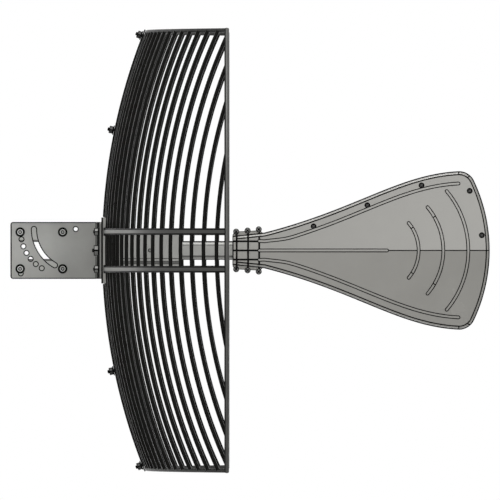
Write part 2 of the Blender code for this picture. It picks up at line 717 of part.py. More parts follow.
def shell_body(name, side):
    bm = bmesh.new()
    base = bm.faces.new([bm.verts.new((x, -side * SEAM_TRIM, z)) for x, z in shell_outline()])
    grown = bmesh.ops.extrude_face_region(bm, geom=[base], use_keep_orig=True)
    moved = [v for v in grown["geom"] if isinstance(v, bmesh.types.BMVert)]
    bmesh.ops.translate(bm, verts=moved, vec=(0, side * (FLAT_TOP + SEAM_TRIM), 0))
    top = [f for f in grown["geom"] if isinstance(f, bmesh.types.BMFace)]
    rim = [e for f in top for e in f.edges]
    round_edges(bm, rim, SHELL_BEVEL, 1)
    # Edges along the ridge and across the roof, so that the roof's faces can bend there
    planes = [((0, 0, 0), (0, 0, 1))]
    for i in range(1, ROOF_STEPS):
        planes.append(((NECK_X + (TIP_X - NECK_X) * i / ROOF_STEPS, 0, 0), (1, 0, 0)))
    for place, normal in planes:
        everything = bm.verts[:] + bm.edges[:] + bm.faces[:]
        bmesh.ops.bisect_plane(bm, geom=everything, plane_co=place, plane_no=normal)
    lift_roof(bm, side)
    bmesh.ops.triangulate(bm, faces=bm.faces)
    return finish_mesh(bm, name)


def lift_roof(bm, side):
    # The flat shape's two outer levels follow the roof, the lower of them by the bevel's drop
    for vert in bm.verts:
        level = side * vert.co.y
        if level < 0.0:
            continue
        drop = FLAT_TOP - level
        vert.co.y = side * (shell_height(vert.co.x, vert.co.z) - max(drop, 0.0))


def strip(name, left, right, side, outer):
    # A raised strip between two lines of points, from inside the shell up to a height that follows it
    bm = bmesh.new()
    root = side * RAISED_ROOT
    rows = [[bm.verts.new((x, root, z)) for x, z in line] for line in (left, right)]
    for i in range(len(left) - 1):
        bm.faces.new((rows[0][i], rows[0][i + 1], rows[1][i + 1], rows[1][i]))
    faces = bm.faces[:]
    grown = bmesh.ops.extrude_face_region(bm, geom=faces, use_keep_orig=True)
    for vert in grown["geom"]:
        if isinstance(vert, bmesh.types.BMVert):
            vert.co.y = side * outer(vert.co.x, vert.co.z)
    bmesh.ops.triangulate(bm, faces=bm.faces)
    return finish_mesh(bm, name)


def raised_top(x, z):
    return shell_height(x, z) + RAISED


def wave_ribs(name, side):
    # Three arcs about one point, like ripples spreading to the front
    strips = []
    for count, radius in enumerate(WAVE_RADII):
        lines = [
            arc((WAVE_X, 0), radius + offset, -WAVE_HALF_DEG, WAVE_HALF_DEG, WAVE_STEPS)
            for offset in (-RAISED_W / 2, RAISED_W / 2)
        ]
        word = f"{name}_wave_{count + 1}"
        strips.append(add_guide(word, strip(word, *lines, side, raised_top)))
    return strips


def side_rib_line(sign, offset):
    # Starts level with the collar's outer rib and then keeps a steady distance from the edge
    points = []
    start = COLLAR_RIB_X[-1]
    first, last = SIDE_RIB_INSET
    for i in range(SIDE_RIB_STEPS + 1):
        x = start + (SIDE_RIB_END - start) * i / SIDE_RIB_STEPS
        ease = min((x - start) / SIDE_RIB_EASE, 1.0)
        inset = first + (last - first) * ease * ease * (3 - 2 * ease)
        points.append((x, sign * (outline_height(x) - inset) + offset))
    return points


def long_ribs(name, side):
    strips = []
    half = RAISED_W / 2
    for word, sign in (("upper", 1), ("lower", -1)):
        lines = (side_rib_line(sign, -half), side_rib_line(sign, half))
        label = f"{name}_{word}_long"
        strips.append(add_guide(label, strip(label, *lines, side, raised_top)))
    ends = (COLLAR_RIB_X[-1], CENTRE_RAISED_END)
    lines = ([(x, -half) for x in ends], [(x, half) for x in ends])
    label = f"{name}_centre_long"
    strips.append(add_guide(label, strip(label, *lines, side, raised_top)))
    return strips


def collar_parts(name, side):
    parts = []
    outline = list(COLLAR_CORNERS) + [(x, -z) for x, z in reversed(COLLAR_CORNERS)]
    span = sorted((-side * SEAM_TRIM, side * COLLAR_FLANGE_T))
    parts.append(add_guide(f"{name}_collar", prism("collar", outline, "Y", *span)))
    for count, (x, z) in enumerate(BOSS_SPOTS):
        for word, sign in (("upper", 1), ("lower", -1)):
            low = (x, -side * SEAM_TRIM, sign * z)
            high = (x, side * NECK_BOSS_H, sign * z)
            mesh = rod("boss", low, high, NECK_BOSS_R)
            parts.append(add_guide(f"{name}_boss_{word}_{count + 1}", mesh))
    for count, x in enumerate(COLLAR_RIB_X):
        outline = [(side * y, z) for y, z in COLLAR_RIB_SIDE]
        outline += [(side * y, -z) for y, z in reversed(COLLAR_RIB_SIDE)]
        mesh = prism("rib", outline, "X", x - COLLAR_RIB_W / 2, x + COLLAR_RIB_W / 2)
        parts.append(add_guide(f"{name}_rib_{count + 1}", mesh))
    for count, z in enumerate(COLLAR_RIB_Z):
        ends = sorted((side * RAISED_ROOT, side * (COLLAR_RIB_TOP - GAP)))
        low = (NECK_X + GAP, ends[0], z - COLLAR_RIB_W / 2)
        high = (COLLAR_RIB_X[-1] + GAP, ends[1], z + COLLAR_RIB_W / 2)
        parts.append(add_guide(f"{name}_level_rib_{count + 1}", box("rib", low, high)))
    return parts


def feed_shell(name, side):
    shell = add_piece(name, shell_body(name, side), "feed")
    fuse(shell, collar_parts(name, side) + long_ribs(name, side) + wave_ribs(name, side))
    bore = BOOM_HALF + GAP
    channel = box("channel", (NECK_X - REACH, -bore, -bore), (BOOM_END + LAP, bore, bore))
    low_y, high_y = sorted((side * SEAM, -side * REACH))
    wide = FUNNEL[-1][1] + REACH
    other_half = box("other_half", (NECK_X - REACH, low_y, -wide), (TIP_X + REACH, high_y, wide))
    cut(shell, [add_guide(f"{name}_channel", channel), add_guide(f"{name}_other_half", other_half)])


def build():
    clear_scene()
    add_vertex_empty()
    grid_half("grid_half_left", 1)
    grid_half("grid_half_right", -1)
    joint_channel("joint_channel_upper", 1)
    joint_channel("joint_channel_lower", -1)
    splices()
    back_plate()
    tilt_bracket()
    mast_clamp()
    flange_bolts()
    boom_socket()
    boom()
    feed_shell("feed_shell_right", -1)
    feed_shell("feed_shell_left", 1)


build()
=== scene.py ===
# %% [markdown]
# # A grid antenna for an upright mast
# The real object is a reflector made of upright metal bars in two halves. A flat plastic feed housing sits
# in front of it on a square tube, and a tilt bracket with V jaws sits behind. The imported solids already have
# the right sizes and places. This lesson gives every one of them its finished shape and surface.

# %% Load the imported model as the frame
import math

import bmesh
import bpy
from mathutils import Matrix, Vector


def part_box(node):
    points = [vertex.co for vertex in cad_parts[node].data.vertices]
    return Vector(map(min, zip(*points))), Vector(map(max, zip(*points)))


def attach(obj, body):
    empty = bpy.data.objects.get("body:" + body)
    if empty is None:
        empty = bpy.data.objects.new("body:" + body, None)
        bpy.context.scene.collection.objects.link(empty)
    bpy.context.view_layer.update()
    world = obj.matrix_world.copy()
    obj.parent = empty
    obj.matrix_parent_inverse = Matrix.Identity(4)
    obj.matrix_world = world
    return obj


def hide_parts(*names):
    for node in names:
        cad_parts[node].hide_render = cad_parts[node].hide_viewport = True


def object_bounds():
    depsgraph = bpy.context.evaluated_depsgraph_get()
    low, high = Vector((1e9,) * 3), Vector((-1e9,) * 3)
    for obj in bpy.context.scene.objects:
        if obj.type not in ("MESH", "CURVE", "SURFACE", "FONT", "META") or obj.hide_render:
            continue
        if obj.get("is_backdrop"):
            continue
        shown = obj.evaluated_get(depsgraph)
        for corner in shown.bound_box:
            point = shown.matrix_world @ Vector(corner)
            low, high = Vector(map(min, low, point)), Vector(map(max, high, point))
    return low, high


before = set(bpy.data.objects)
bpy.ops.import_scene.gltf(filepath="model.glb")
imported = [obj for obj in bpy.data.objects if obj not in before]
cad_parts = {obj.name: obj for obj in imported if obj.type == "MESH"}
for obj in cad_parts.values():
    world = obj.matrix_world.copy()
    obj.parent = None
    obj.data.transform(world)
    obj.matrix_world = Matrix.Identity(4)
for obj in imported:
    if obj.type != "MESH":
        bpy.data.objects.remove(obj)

scene = bpy.context.scene
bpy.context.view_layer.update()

# %% [markdown]
# ## The dish vertex
# On the drawing of such an antenna every measure starts at the vertex, the deepest point of the dish. The
# frame's origin is on the mast instead, so the vertex is worked out once from the boom's solid. Each piece is
# modelled from the vertex and moved as a whole at the end.

# %% Find the dish vertex
BOOM_START = 0.026
boom_low, boom_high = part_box("boom_tube")
VERTEX = Vector((boom_low.x - BOOM_START, (boom_low.y + boom_high.y) / 2, (boom_low.z + boom_high.z) / 2))
print("vertex:", tuple(round(value, 4) for value in VERTEX))

# %% [markdown]
# ## Materials from noise
# Paint, moulded plastic and plated steel differ in three things: how even the colour is, how the gloss
# varies, and the fine relief. A photo texture could hold all three, but it needs unwrapping on every piece.
# One helper makes them from noise on Object coordinates instead, which keep their scale in metres everywhere.
# What is the same all over stays on the shader's own sockets, so that the exported model keeps it.

# %% A helper for a finish
CLOUD_SCALE = 22.0
CLOUD_DETAIL = 6.0
CLOUD_RANGE = (0.3, 0.7)
GLOSS_SPREAD = 0.15
GRAIN_DETAIL = 3.0


def finish(name, colour, roughness, metallic=0.0, gloss_level=0.5, mottle=0.10, grain=900.0, relief=0.00002,
           stretch=(1, 1, 1)):
    material = bpy.data.materials.new(name)
    material.use_nodes = True
    nodes, links = material.node_tree.nodes, material.node_tree.links
    shader = nodes["Principled BSDF"]
    shader.inputs["Metallic"].default_value = metallic
    shader.inputs["Specular IOR Level"].default_value = gloss_level
    where = nodes.new("ShaderNodeTexCoord")
    mapping = nodes.new("ShaderNodeMapping")
    mapping.inputs["Scale"].default_value = stretch
    links.new(where.outputs["Object"], mapping.inputs["Vector"])

    def noise(scale, detail):
        node = nodes.new("ShaderNodeTexNoise")
        node.inputs["Scale"].default_value = scale
        node.inputs["Detail"].default_value = detail
        links.new(mapping.outputs["Vector"], node.inputs["Vector"])
        return node.outputs["Fac"]

    cloud = noise(CLOUD_SCALE, CLOUD_DETAIL)
    ramp = nodes.new("ShaderNodeValToRGB")
    for stop, position, share in zip(ramp.color_ramp.elements, CLOUD_RANGE, (1 - mottle, 1 + mottle)):
        stop.position = position
        stop.color = (*(value * share for value in colour), 1)
    links.new(cloud, ramp.inputs["Fac"])
    links.new(ramp.outputs["Color"], shader.inputs["Base Color"])
    gloss = nodes.new("ShaderNodeMapRange")
    gloss.inputs["To Min"].default_value = roughness * (1 - GLOSS_SPREAD)
    gloss.inputs["To Max"].default_value = roughness * (1 + GLOSS_SPREAD)
    links.new(cloud, gloss.inputs["Value"])
    links.new(gloss.outputs["Result"], shader.inputs["Roughness"])
    bump = nodes.new("ShaderNodeBump")
    bump.inputs["Distance"].default_value = relief
    links.new(noise(grain, GRAIN_DETAIL), bump.inputs["Height"])
    links.new(bump.outputs["Normal"], shader.inputs["Normal"])
    return material


# %% A helper that paints a coat lighter towards one end, as a painted highlight
def paint_highlight(material, colour, start, end):
    # The share of the lighter colour falls from 1 at start to 0 at end, along X
    nodes, links = material.node_tree.nodes, material.node_tree.links
    base = nodes["Principled BSDF"].inputs["Base Color"]
    coat = base.links[0].from_socket
    where = nodes.new("ShaderNodeTexCoord")
    split = nodes.new("ShaderNodeSeparateXYZ")
    links.new(where.outputs["Object"], split.inputs["Vector"])
    share = nodes.new("ShaderNodeMapRange")
    for socket, value in zip(("From Min", "From Max", "To Min", "To Max"), (start, end, 1.0, 0.0)):
        share.inputs[socket].default_value = value
    share.interpolation_type = "SMOOTHERSTEP"
    links.new(split.outputs["X"], share.inputs["Value"])
    # On a colour mix, inputs 6 and 7 are the two colours and output 2 is the result
    mix = nodes.new("ShaderNodeMix")
    mix.data_type = "RGBA"
    links.new(share.outputs["Result"], mix.inputs[0])
    links.new(coat, mix.inputs[6])
    mix.inputs[7].default_value = (*colour, 1)
    links.new(mix.outputs[2], base)


# %% [markdown]
# ## The finishes of this antenna
# The grid has a dark satin coat, and its edge rods, rim and ribs get lighter copies of it as painted light.
# The bracket, the tray and the jaws have grey coats, the bolts are zinc plated with a painted highlight on
# most crowns, and the tube is drawn aluminium. The housing is moulded in a warm light grey. Creases, seams and
# edges are painted as thin dark lines, in creases as painted shade, with finishes of their own: a black one,
# and a softer painted shade where the line is wider. The centre ribs get a painted reflection towards the
# middle.

# %% Make the finishes
grid_coat = finish("grid_coat", (0.0055, 0.0055, 0.0045), 0.28, gloss_level=0.11, grain=500.0)
# A lighter copy of the grid's coat, painted light on the ribs' flat faces and the rim
rib_painted_light = finish("rib_painted_light", (0.105, 0.105, 0.099), 0.30, gloss_level=0.4, grain=500.0)
# A lighter copy of the grid's coat, painted light on the fronts of the edge rods
rod_painted_light = finish("rod_painted_light", (0.065, 0.065, 0.062), 0.50, gloss_level=0.08, grain=500.0)
rib_shade = finish("rib_shade", (0.005, 0.005, 0.0046), 0.50, gloss_level=0.08, grain=500.0)
bracket_coat = finish("bracket_coat", (0.275, 0.275, 0.26), 0.42, grain=1100.0, relief=0.00003)
tray_coat = finish("tray_coat", (0.34, 0.34, 0.32), 0.42, grain=1100.0, relief=0.00003)
bend_shade = finish("bend_shade", (0.012, 0.012, 0.011), 0.50, gloss_level=0.15, grain=1100.0)
clamp_coat = finish("clamp_coat", (0.34, 0.34, 0.32), 0.45, grain=1100.0, relief=0.00003)
# A softer painted shade, for wide lines, the grooves of the lid and the round corners of the boom
soft_shade = finish("soft_shade", (0.115, 0.115, 0.109), 0.45, grain=1100.0)
# A lighter copy of zinc: a painted highlight for the flat crowns of nuts and heads
zinc_painted_highlight = finish("zinc_painted_highlight", (0.42, 0.42, 0.405), 0.40, mottle=0.15, grain=1500.0)
zinc = finish("zinc", (0.23, 0.23, 0.22), 0.40, metallic=0.2, mottle=0.15, grain=1500.0)
black_zinc = finish("black_zinc", (0.045, 0.045, 0.043), 0.40, mottle=0.15, grain=1500.0)
screw_coat = finish("screw_coat", (0.25, 0.25, 0.24), 0.40, mottle=0.15, grain=1500.0)
tube_metal = finish("tube_metal", (0.41, 0.41, 0.39), 0.42, metallic=0.2, grain=2500.0, stretch=(0.04, 1, 1))
socket_plastic = finish("socket_plastic", (0.42, 0.42, 0.40), 0.55, grain=1600.0, relief=0.00004)
feed_plastic = finish("feed_plastic", (0.384, 0.376, 0.349), 0.26, gloss_level=1.0, mottle=0.03, grain=1800.0)
crease = finish("crease", (0.004, 0.004, 0.0038), 0.6, gloss_level=0.05)
# A painted reflection on the ribs, lightest near the middle of the dish and fading outwards
paint_highlight(rib_painted_light, (0.72, 0.72, 0.69), VERTEX.x - 0.02, VERTEX.x + 0.075)
print("finishes:", len(bpy.data.materials))

# %% [markdown]
# ## From bmesh to a finished piece
# A piece is put together from closed parts. Joining objects would do too, but it leans on what is selected.
# Each part has its doubles merged and its faces turned outwards on its own, because on a piece of many loose
# parts that is the safe order. The object stays at the origin, its place is in its mesh, and a Weighted
# Normal modifier keeps the wide faces flat next to their small bevels. Every piece lists its finishes in the
# same order, its plain coat first and the dark one of its lines second, so each face only keeps a number.

# %% Helpers that add a part and finish a piece
MERGE = 1e-6
PLAIN, LINE, SECOND, THIRD = range(4)


def add(bm, part, place=None, index=None):
    bmesh.ops.remove_doubles(part, verts=part.verts, dist=MERGE)
    bmesh.ops.recalc_face_normals(part, faces=part.faces)
    if index is not None:
        for face in part.faces:
            face.material_index = index
    if place is not None:
        bmesh.ops.transform(part, matrix=place, verts=part.verts)
    mesh = bpy.data.meshes.new("part")
    part.to_mesh(mesh)
    part.free()
    bm.from_mesh(mesh)
    bpy.data.meshes.remove(mesh)


def piece(name, bm, finishes, slot, *nodes, sharp_deg=40.0):
    bmesh.ops.translate(bm, verts=bm.verts, vec=VERTEX)
    mesh = bpy.data.meshes.new(name)
    bm.to_mesh(mesh)
    bm.free()
    mesh.shade_smooth()
    mesh.set_sharp_from_angle(angle=math.radians(sharp_deg))
    for material in finishes:
        mesh.materials.append(material)
    obj = bpy.data.objects.new(name, mesh)
    scene.collection.objects.link(obj)
    shading = obj.modifiers.new("shading", "WEIGHTED_NORMAL")
    shading.keep_sharp = True
    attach(obj, "root")
    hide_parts(*nodes)
    print(name, "faces:", len(mesh.polygons), "stands for:", ", ".join(nodes))


# %% [markdown]
# ## Small tools for metalwork
# Most of the antenna is bent bar, folded sheet and turned parts. In bmesh a bent bar is a section that is
# spun about the centre of its bend, a sheet is an outline that is extruded, and a turned part is half a
# profile spun all the way round. A curve with a bevel makes bars as well, but it has to be made a mesh first.

# %% Places and picks
AXES = {"X": Vector((1, 0, 0)), "Y": Vector((0, 1, 0)), "Z": Vector((0, 0, 1))}


def pointing(spot, direction):
    # A place whose +Z looks along a direction
    return Matrix.Translation(Vector(spot)) @ Vector(direction).to_track_quat("Z", "Y").to_matrix().to_4x4()


def on_side(side, near, far):
    # The two levels of a part between near and far on one side of the middle, the lower one first
    return sorted((side * near, side * far))


def grown(result, kind):
    return [item for item in result["geom"] if isinstance(item, kind)]


def round_edges(bm, edges, width, segments=2):
    bmesh.ops.bevel(bm, geom=edges, offset=width, segments=segments, profile=0.5, affect="EDGES", material=-1)


# %% Bent bars and turned parts
BAR_SIDES = 12


def swing(part, hub, axis, angle, steps):
    # Spins a part's one face about a hub
    bmesh.ops.spin(
        part, geom=part.faces[:], cent=hub, axis=AXES[axis], angle=angle, steps=steps, use_duplicate=False
    )
    return part


def bent(section, hub, axis, start, end, steps):
    # A closed section, turned back to the start of a bend and swung to its end
    part = bmesh.new()
    part.faces.new([part.verts.new(point) for point in section])
    bmesh.ops.rotate(part, verts=part.verts, cent=hub, matrix=Matrix.Rotation(start, 3, axis))
    return swing(part, hub, axis, end - start, steps)


def bent_bar(radius, spot, tangent, hub, axis, start, end, steps):
    # A round section at a spot of the bend, turned back and swung in the same way
    part = bmesh.new()
    turn = Matrix.Translation(hub) @ Matrix.Rotation(start, 4, axis) @ Matrix.Translation(-Vector(hub))
    bmesh.ops.create_circle(
        part, cap_ends=True, segments=BAR_SIDES, radius=radius, matrix=turn @ pointing(spot, tangent)
    )
    return swing(part, hub, axis, end - start, steps)


def turned(profile, sides=24):
    # Half a profile of (radius, height) about +Z, spun all the way round
    part = bmesh.new()
    points = [part.verts.new((radius, 0, height)) for radius, height in profile]
    edges = [part.edges.new(pair) for pair in zip(points, points[1:])]
    bmesh.ops.spin(
        part, geom=points + edges, cent=(0, 0, 0), axis=(0, 0, 1), angle=2 * math.pi, steps=sides,
        use_merge=True, use_duplicate=False,
    )
    return part


def plug(radius, low, high, sides=24):
    return turned([(0, low), (radius, low), (radius, high), (0, high)], sides)


# %% Slabs, blocks and outlines
def slab(outline, axis, low, high):
    # A flat outline pushed along an axis; its two numbers are the other two axes in order
    order = {"X": (2, 0, 1), "Y": (0, 2, 1), "Z": (0, 1, 2)}[axis]

    def at(a, b, c):
        triple = (a, b, c)
        return Vector(triple[i] for i in order)

    part = bmesh.new()
    face = part.faces.new([part.verts.new(at(a, b, low)) for a, b in outline])
    step = bmesh.ops.extrude_face_region(part, geom=[face], use_keep_orig=True)
    bmesh.ops.translate(part, verts=grown(step, bmesh.types.BMVert), vec=at(0.0, 0.0, high - low))
    bmesh.ops.recalc_face_normals(part, faces=part.faces)
    return part


def block(low, high, edge=0.0):
    # A box, with its edges rounded where an edge is given
    size = Vector(high) - Vector(low)
    place = Matrix.Translation((Vector(high) + Vector(low)) / 2) @ Matrix.Diagonal((*size, 1.0))
    part = bmesh.new()
    bmesh.ops.create_cube(part, size=1.0, matrix=place)
    if edge:
        round_edges(part, part.edges[:], edge)
    return part


def arc(centre, radius, start_deg, end_deg, steps):
    angles = [math.radians(start_deg + (end_deg - start_deg) * i / steps) for i in range(steps + 1)]
    return [(centre[0] + radius * math.cos(a), centre[1] + radius * math.sin(a)) for a in angles]


def rounded(half_a, half_b, radius, steps):
    # A rectangle with round corners, as points in order
    points = []
    for turn, (sign_a, sign_b) in enumerate(((1, 1), (-1, 1), (-1, -1), (1, -1))):
        centre = (sign_a * (half_a - radius), sign_b * (half_b - radius))
        points += arc(centre, radius, 90 * turn, 90 * turn + 90, steps)
    return points


# %% [markdown]
# ## Holes, deburred edges and dark lines
# Drilled sheet is quickest as a Boolean: one mesh of drills is taken out of the plate, and a narrow Bevel
# then breaks every sharp edge, as deburring does. The bevel gets the dark finish, which paints a thin dark
# line along each edge. Where the line along an edge or round a hole has to be wider, the flat face is inset
# as a region and the ring gets the finish. A hole drilled after that has no ring. The modifiers are applied
# at once, so the drills are gone when the piece is finished.

# %% A helper that drills and deburrs
FINE_EDGE = 0.0003
SOFT_EDGE = 0.0004
DEBURR_ANGLE = math.radians(40.0)


def on_bench(part):
    # A working object with slots for all finishes, so that each face keeps the number of its own
    bmesh.ops.recalc_face_normals(part, faces=part.faces)
    mesh = bpy.data.meshes.new("bench")
    part.to_mesh(mesh)
    part.free()
    for index in (PLAIN, LINE, SECOND, THIRD):
        mesh.materials.append(crease)
    obj = bpy.data.objects.new("bench", mesh)
    scene.collection.objects.link(obj)
    return obj


def worked(part, drills=None, edge=0.0):
    bench = [on_bench(part)]
    if drills is not None:
        bench.append(on_bench(drills))
        cut = bench[0].modifiers.new("cut", "BOOLEAN")
        cut.operation = "DIFFERENCE"
        cut.solver = "EXACT"
        cut.use_self = True
        cut.object = bench[1]
    if edge:
        deburr = bench[0].modifiers.new("deburr", "BEVEL")
        deburr.width = edge
        deburr.segments = 2
        deburr.limit_method = "ANGLE"
        deburr.angle_limit = DEBURR_ANGLE
        deburr.material = LINE
        deburr.use_clamp_overlap = False
    bpy.context.view_layer.update()
    depsgraph = bpy.context.evaluated_depsgraph_get()
    result = bpy.data.meshes.new_from_object(bench[0].evaluated_get(depsgraph))
    fresh = bmesh.new()
    fresh.from_mesh(result)
    # Removing a mesh also removes the object that holds it
    for mesh in [obj.data for obj in bench] + [result]:
        bpy.data.meshes.remove(mesh)
    return fresh


# %% Helpers that give faces a finish, and a round drill
SQUARE_ON = 0.999
DRILL_REACH = 0.03


def marked(part, index, test, other=None):
    # Faces whose middle passes a test get the number of a finish, and the rest another if it is given
    for face in part.faces:
        if test(face.calc_center_median()):
            face.material_index = index
        elif other is not None:
            face.material_index = other
    return part


def lined(part, width, low, high, index=LINE):
    # A line of even width round the plain faces that look along Y, from the level low to the level high
    flat = [
        face for face in part.faces
        if face.material_index == PLAIN and abs(face.normal.y) > SQUARE_ON
        and low < face.calc_center_median().y < high
    ]
    ring = bmesh.ops.inset_region(part, faces=flat, thickness=width, use_even_offset=True)["faces"]
    for face in ring:
        face.material_index = index
    return part


def drill(bm, spot, direction, radius, reach=DRILL_REACH, sides=32):
    # A round drill through a spot, in both directions
    part = bmesh.new()
    bmesh.ops.create_cone(
        part, cap_ends=True, segments=sides, radius1=radius, radius2=radius, depth=2 * reach
    )
    add(bm, part, pointing(spot, direction))


# %% [markdown]
# ## The reflector grid
# Each half is 19 upright bars, a rod along the upper and the lower edge, a heavier round rim, and two flat
# ribs with rounded edges that carry the bolts. All of them lie on one sphere, so every bar is an arc in its
# own plane, and a spin about the right centre gives it exactly. A curve with a bevel would do too, but its
# round sections tilt on a long bend, and the spin keeps them true. The real bars are 6 mm rod. They are made
# 5.2 mm here, because seen from the side the far half stands out a little behind the near one, and the two
# together then look as thick as the rod.

# %% Sizes of the grid
SPHERE_R = 0.8036
BAR_PITCH = 0.0254
BARS_PER_HALF = 19
BAR_R = 0.003
BAR_FINE_R = 0.0026
HALF_HEIGHT = 0.297
RIM_DEPTH = 0.1655
RIM_TUBE_R = 0.0032
RIM_TUBE_END_Z = 0.2982
RIM_R = math.sqrt(SPHERE_R ** 2 - (SPHERE_R - RIM_DEPTH) ** 2)
GAP = 0.0003
BAR_STEPS = 40
RIB_STEPS = 48
print("radius of the rim:", round(RIM_R, 4))


# %% Bars of one half
def grid_bars(bm, side):
    for count in range(BARS_PER_HALF):
        y = side * (count + 0.5) * BAR_PITCH
        radius = math.sqrt(SPHERE_R ** 2 - y ** 2)
        top = min(HALF_HEIGHT, math.sqrt(RIM_R ** 2 - y ** 2))
        reach = math.asin(top / radius)
        spot = (SPHERE_R - radius, y, 0)
        add(bm, bent_bar(BAR_FINE_R, spot, (0, 0, 1), (SPHERE_R, y, 0), "Y", -reach, reach, BAR_STEPS))


# %% [markdown]
# Edge rods and rim catch the light on the side that faces the eye and stay dark where they turn away. Smooth
# shading alone loses that on a bar a few pixels wide, so it is painted: the faces that turn away get painted
# shade, and the others a lighter coat of painted light.

# %% Edge rods and rim of one half
TURNS_AWAY = 0.45


def edge_span(z):
    # The radius of the sphere at a height, and the turns from the middle of the grid to the rim
    radius = math.sqrt(SPHERE_R ** 2 - z ** 2)
    return radius, math.asin(GAP / 2 / radius), math.asin(math.sqrt(RIM_R ** 2 - z ** 2) / radius)


def edge_rods(bm, side):
    for z in (-HALF_HEIGHT, HALF_HEIGHT):
        radius, first, last = edge_span(z)
        spot, hub = (SPHERE_R - radius, 0, z), (SPHERE_R, 0, z)
        rod = bent_bar(BAR_FINE_R, spot, (0, 1, 0), hub, "Z", -side * first, -side * last, RIB_STEPS)
        add(bm, marked(rod, LINE, lambda middle: abs(middle.z - z) > TURNS_AWAY * BAR_FINE_R, THIRD))
    reach = math.asin(RIM_TUBE_END_Z / RIM_R)
    spot, hub = (RIM_DEPTH, side * RIM_R, 0), (RIM_DEPTH, 0, 0)
    rim = bent_bar(RIM_TUBE_R, spot, (0, 0, 1), hub, "X", -reach, reach, RIB_STEPS)
    add(bm, marked(rim, LINE, lambda middle: middle.x < RIM_DEPTH - TURNS_AWAY * RIM_TUBE_R, SECOND))


# %% [markdown]
# The two centre ribs are taller than the bars and have a flat face with well rounded edges. The flat face
# gets a lighter coat of painted light and the round edges get painted shade. Each rib has a boss where the
# bracket's bolt goes through.
# A rib is a rounded rectangle that is spun like the bars, and a boss is a turned part.

# %% Centre ribs and bosses of one half
RIB_Z = 0.0254
RIB_HALF_H = 0.0046
RIB_CORNER = 0.0024
BOSS_R = 0.0065
BOSS_L = 0.0073
BOSS_PROFILE = [(0, 0), (BOSS_R - 0.0003, 0), (BOSS_R, 0.0004), (BOSS_R, BOSS_L - 0.0004),
                (BOSS_R - 0.0003, BOSS_L), (0, BOSS_L)]


def centre_ribs(bm, side):
    for z in (-RIB_Z, RIB_Z):
        radius, first, last = edge_span(z)
        middle_x = SPHERE_R - radius
        section = [(middle_x + a, 0, z + b) for a, b in rounded(BAR_R, RIB_HALF_H, RIB_CORNER, 4)]
        rib = bent(section, (SPHERE_R, 0, 0), "Z", -side * first, -side * last, RIB_STEPS)
        add(bm, marked(rib, LINE, lambda middle: abs(middle.z - z) > RIB_HALF_H - RIB_CORNER, SECOND))
        add(bm, turned(BOSS_PROFILE), pointing((-BAR_R, side * RIB_Z, z), (1, 0, 0)))


# %% Build both halves of the grid
for word, side in (("left", 1), ("right", -1)):
    bm = bmesh.new()
    grid_bars(bm, side)
    edge_rods(bm, side)
    centre_ribs(bm, side)
    piece(f"grid_{word}", bm, [grid_coat, rib_shade, rib_painted_light, rod_painted_light], "grid", f"grid_half_{word}")

# %% [markdown]
# ## The joint between the halves
# A pressed channel behind the two middle bars and small plates in front of them are pulled together by bolts
# that stand square to the dish. The channel could be a straight strip that is bent with a modifier. Swinging
# its U section along the dish gives the same bend as the bars have. Its lips stop short of the edge rod,
# where a second, flatter section goes on.

# %% The two channels
CHANNEL_HALF_W = 0.0173
CHANNEL_SHEET = 0.0012
CHANNEL_CORNER = 0.0008
CHANNEL_LIPS = (0.0027, 0.0004)
CHANNEL_Z = (0.0453, 0.2910, 0.2988)
CHANNEL_STEPS = (40, 3)
WEB = -BAR_R - GAP


def channel_section(lip):
    half, inner = CHANNEL_HALF_W, CHANNEL_HALF_W - CHANNEL_SHEET
    back, corner = WEB - CHANNEL_SHEET, CHANNEL_CORNER
    right = [(back, half - corner, 0), (back + corner, half, 0), (WEB + lip, half, 0), (WEB + lip, inner, 0),
             (WEB, inner, 0)]
    return [(x, -y, z) for x, y, z in right] + right[::-1]


for word, sign in (("upper", 1), ("lower", -1)):
    bm = bmesh.new()
    turns = [sign * math.asin(z / SPHERE_R) for z in CHANNEL_Z]
    for lip, start, end, steps in zip(CHANNEL_LIPS, turns, turns[1:], CHANNEL_STEPS):
        add(bm, bent(channel_section(lip), (SPHERE_R, 0, 0), "Y", start, end, steps))
    piece(f"channel_{word}", bm, [rib_shade], "bracket", f"joint_channel_{word}")

# %% [markdown]
# ## Nuts and bolts
# A nut is a hexagon with a cone turned off its corners. A Boolean of a prism and a cone makes one, but leaves
# slivers at the corners. Here a ring of 24 points is pulled out to the hexagon and extruded in three steps,
# and its upper points drop where they lie outside the cone. The edges between the flats and the ring about
# the thread are dark, and the flat crown gets a painted highlight, brighter than the sides.

# %% A hexagon with its corners turned off
FLATS = 0.010
HEAD_H = 0.0040
NUT_H = 0.0052
HEX_TURNS_DEG = (9, 23, 37, 51)
HEX_FOOT = 0.0009
HEX_SHOULDER = 0.0012
CORNER_DARK_DEG = 12
CONE_START = 0.97
CONE_SLOPE = 0.6
CROWN_LINE = 0.0008
CROWN_SHARE = 0.76


def hexagon_ring(part, inner):
    # Four points on each side, two of them near its corners
    bmesh.ops.create_circle(part, cap_ends=True, segments=24, radius=inner)
    for vert in part.verts:
        count = round(math.degrees(math.atan2(vert.co.y, vert.co.x)) / 15)
        turn = HEX_TURNS_DEG[count % 4]
        radius = inner / math.cos(math.radians(turn - 30))
        angle = math.radians(60 * (count // 4) + turn)
        vert.co = (radius * math.cos(angle), radius * math.sin(angle), 0)


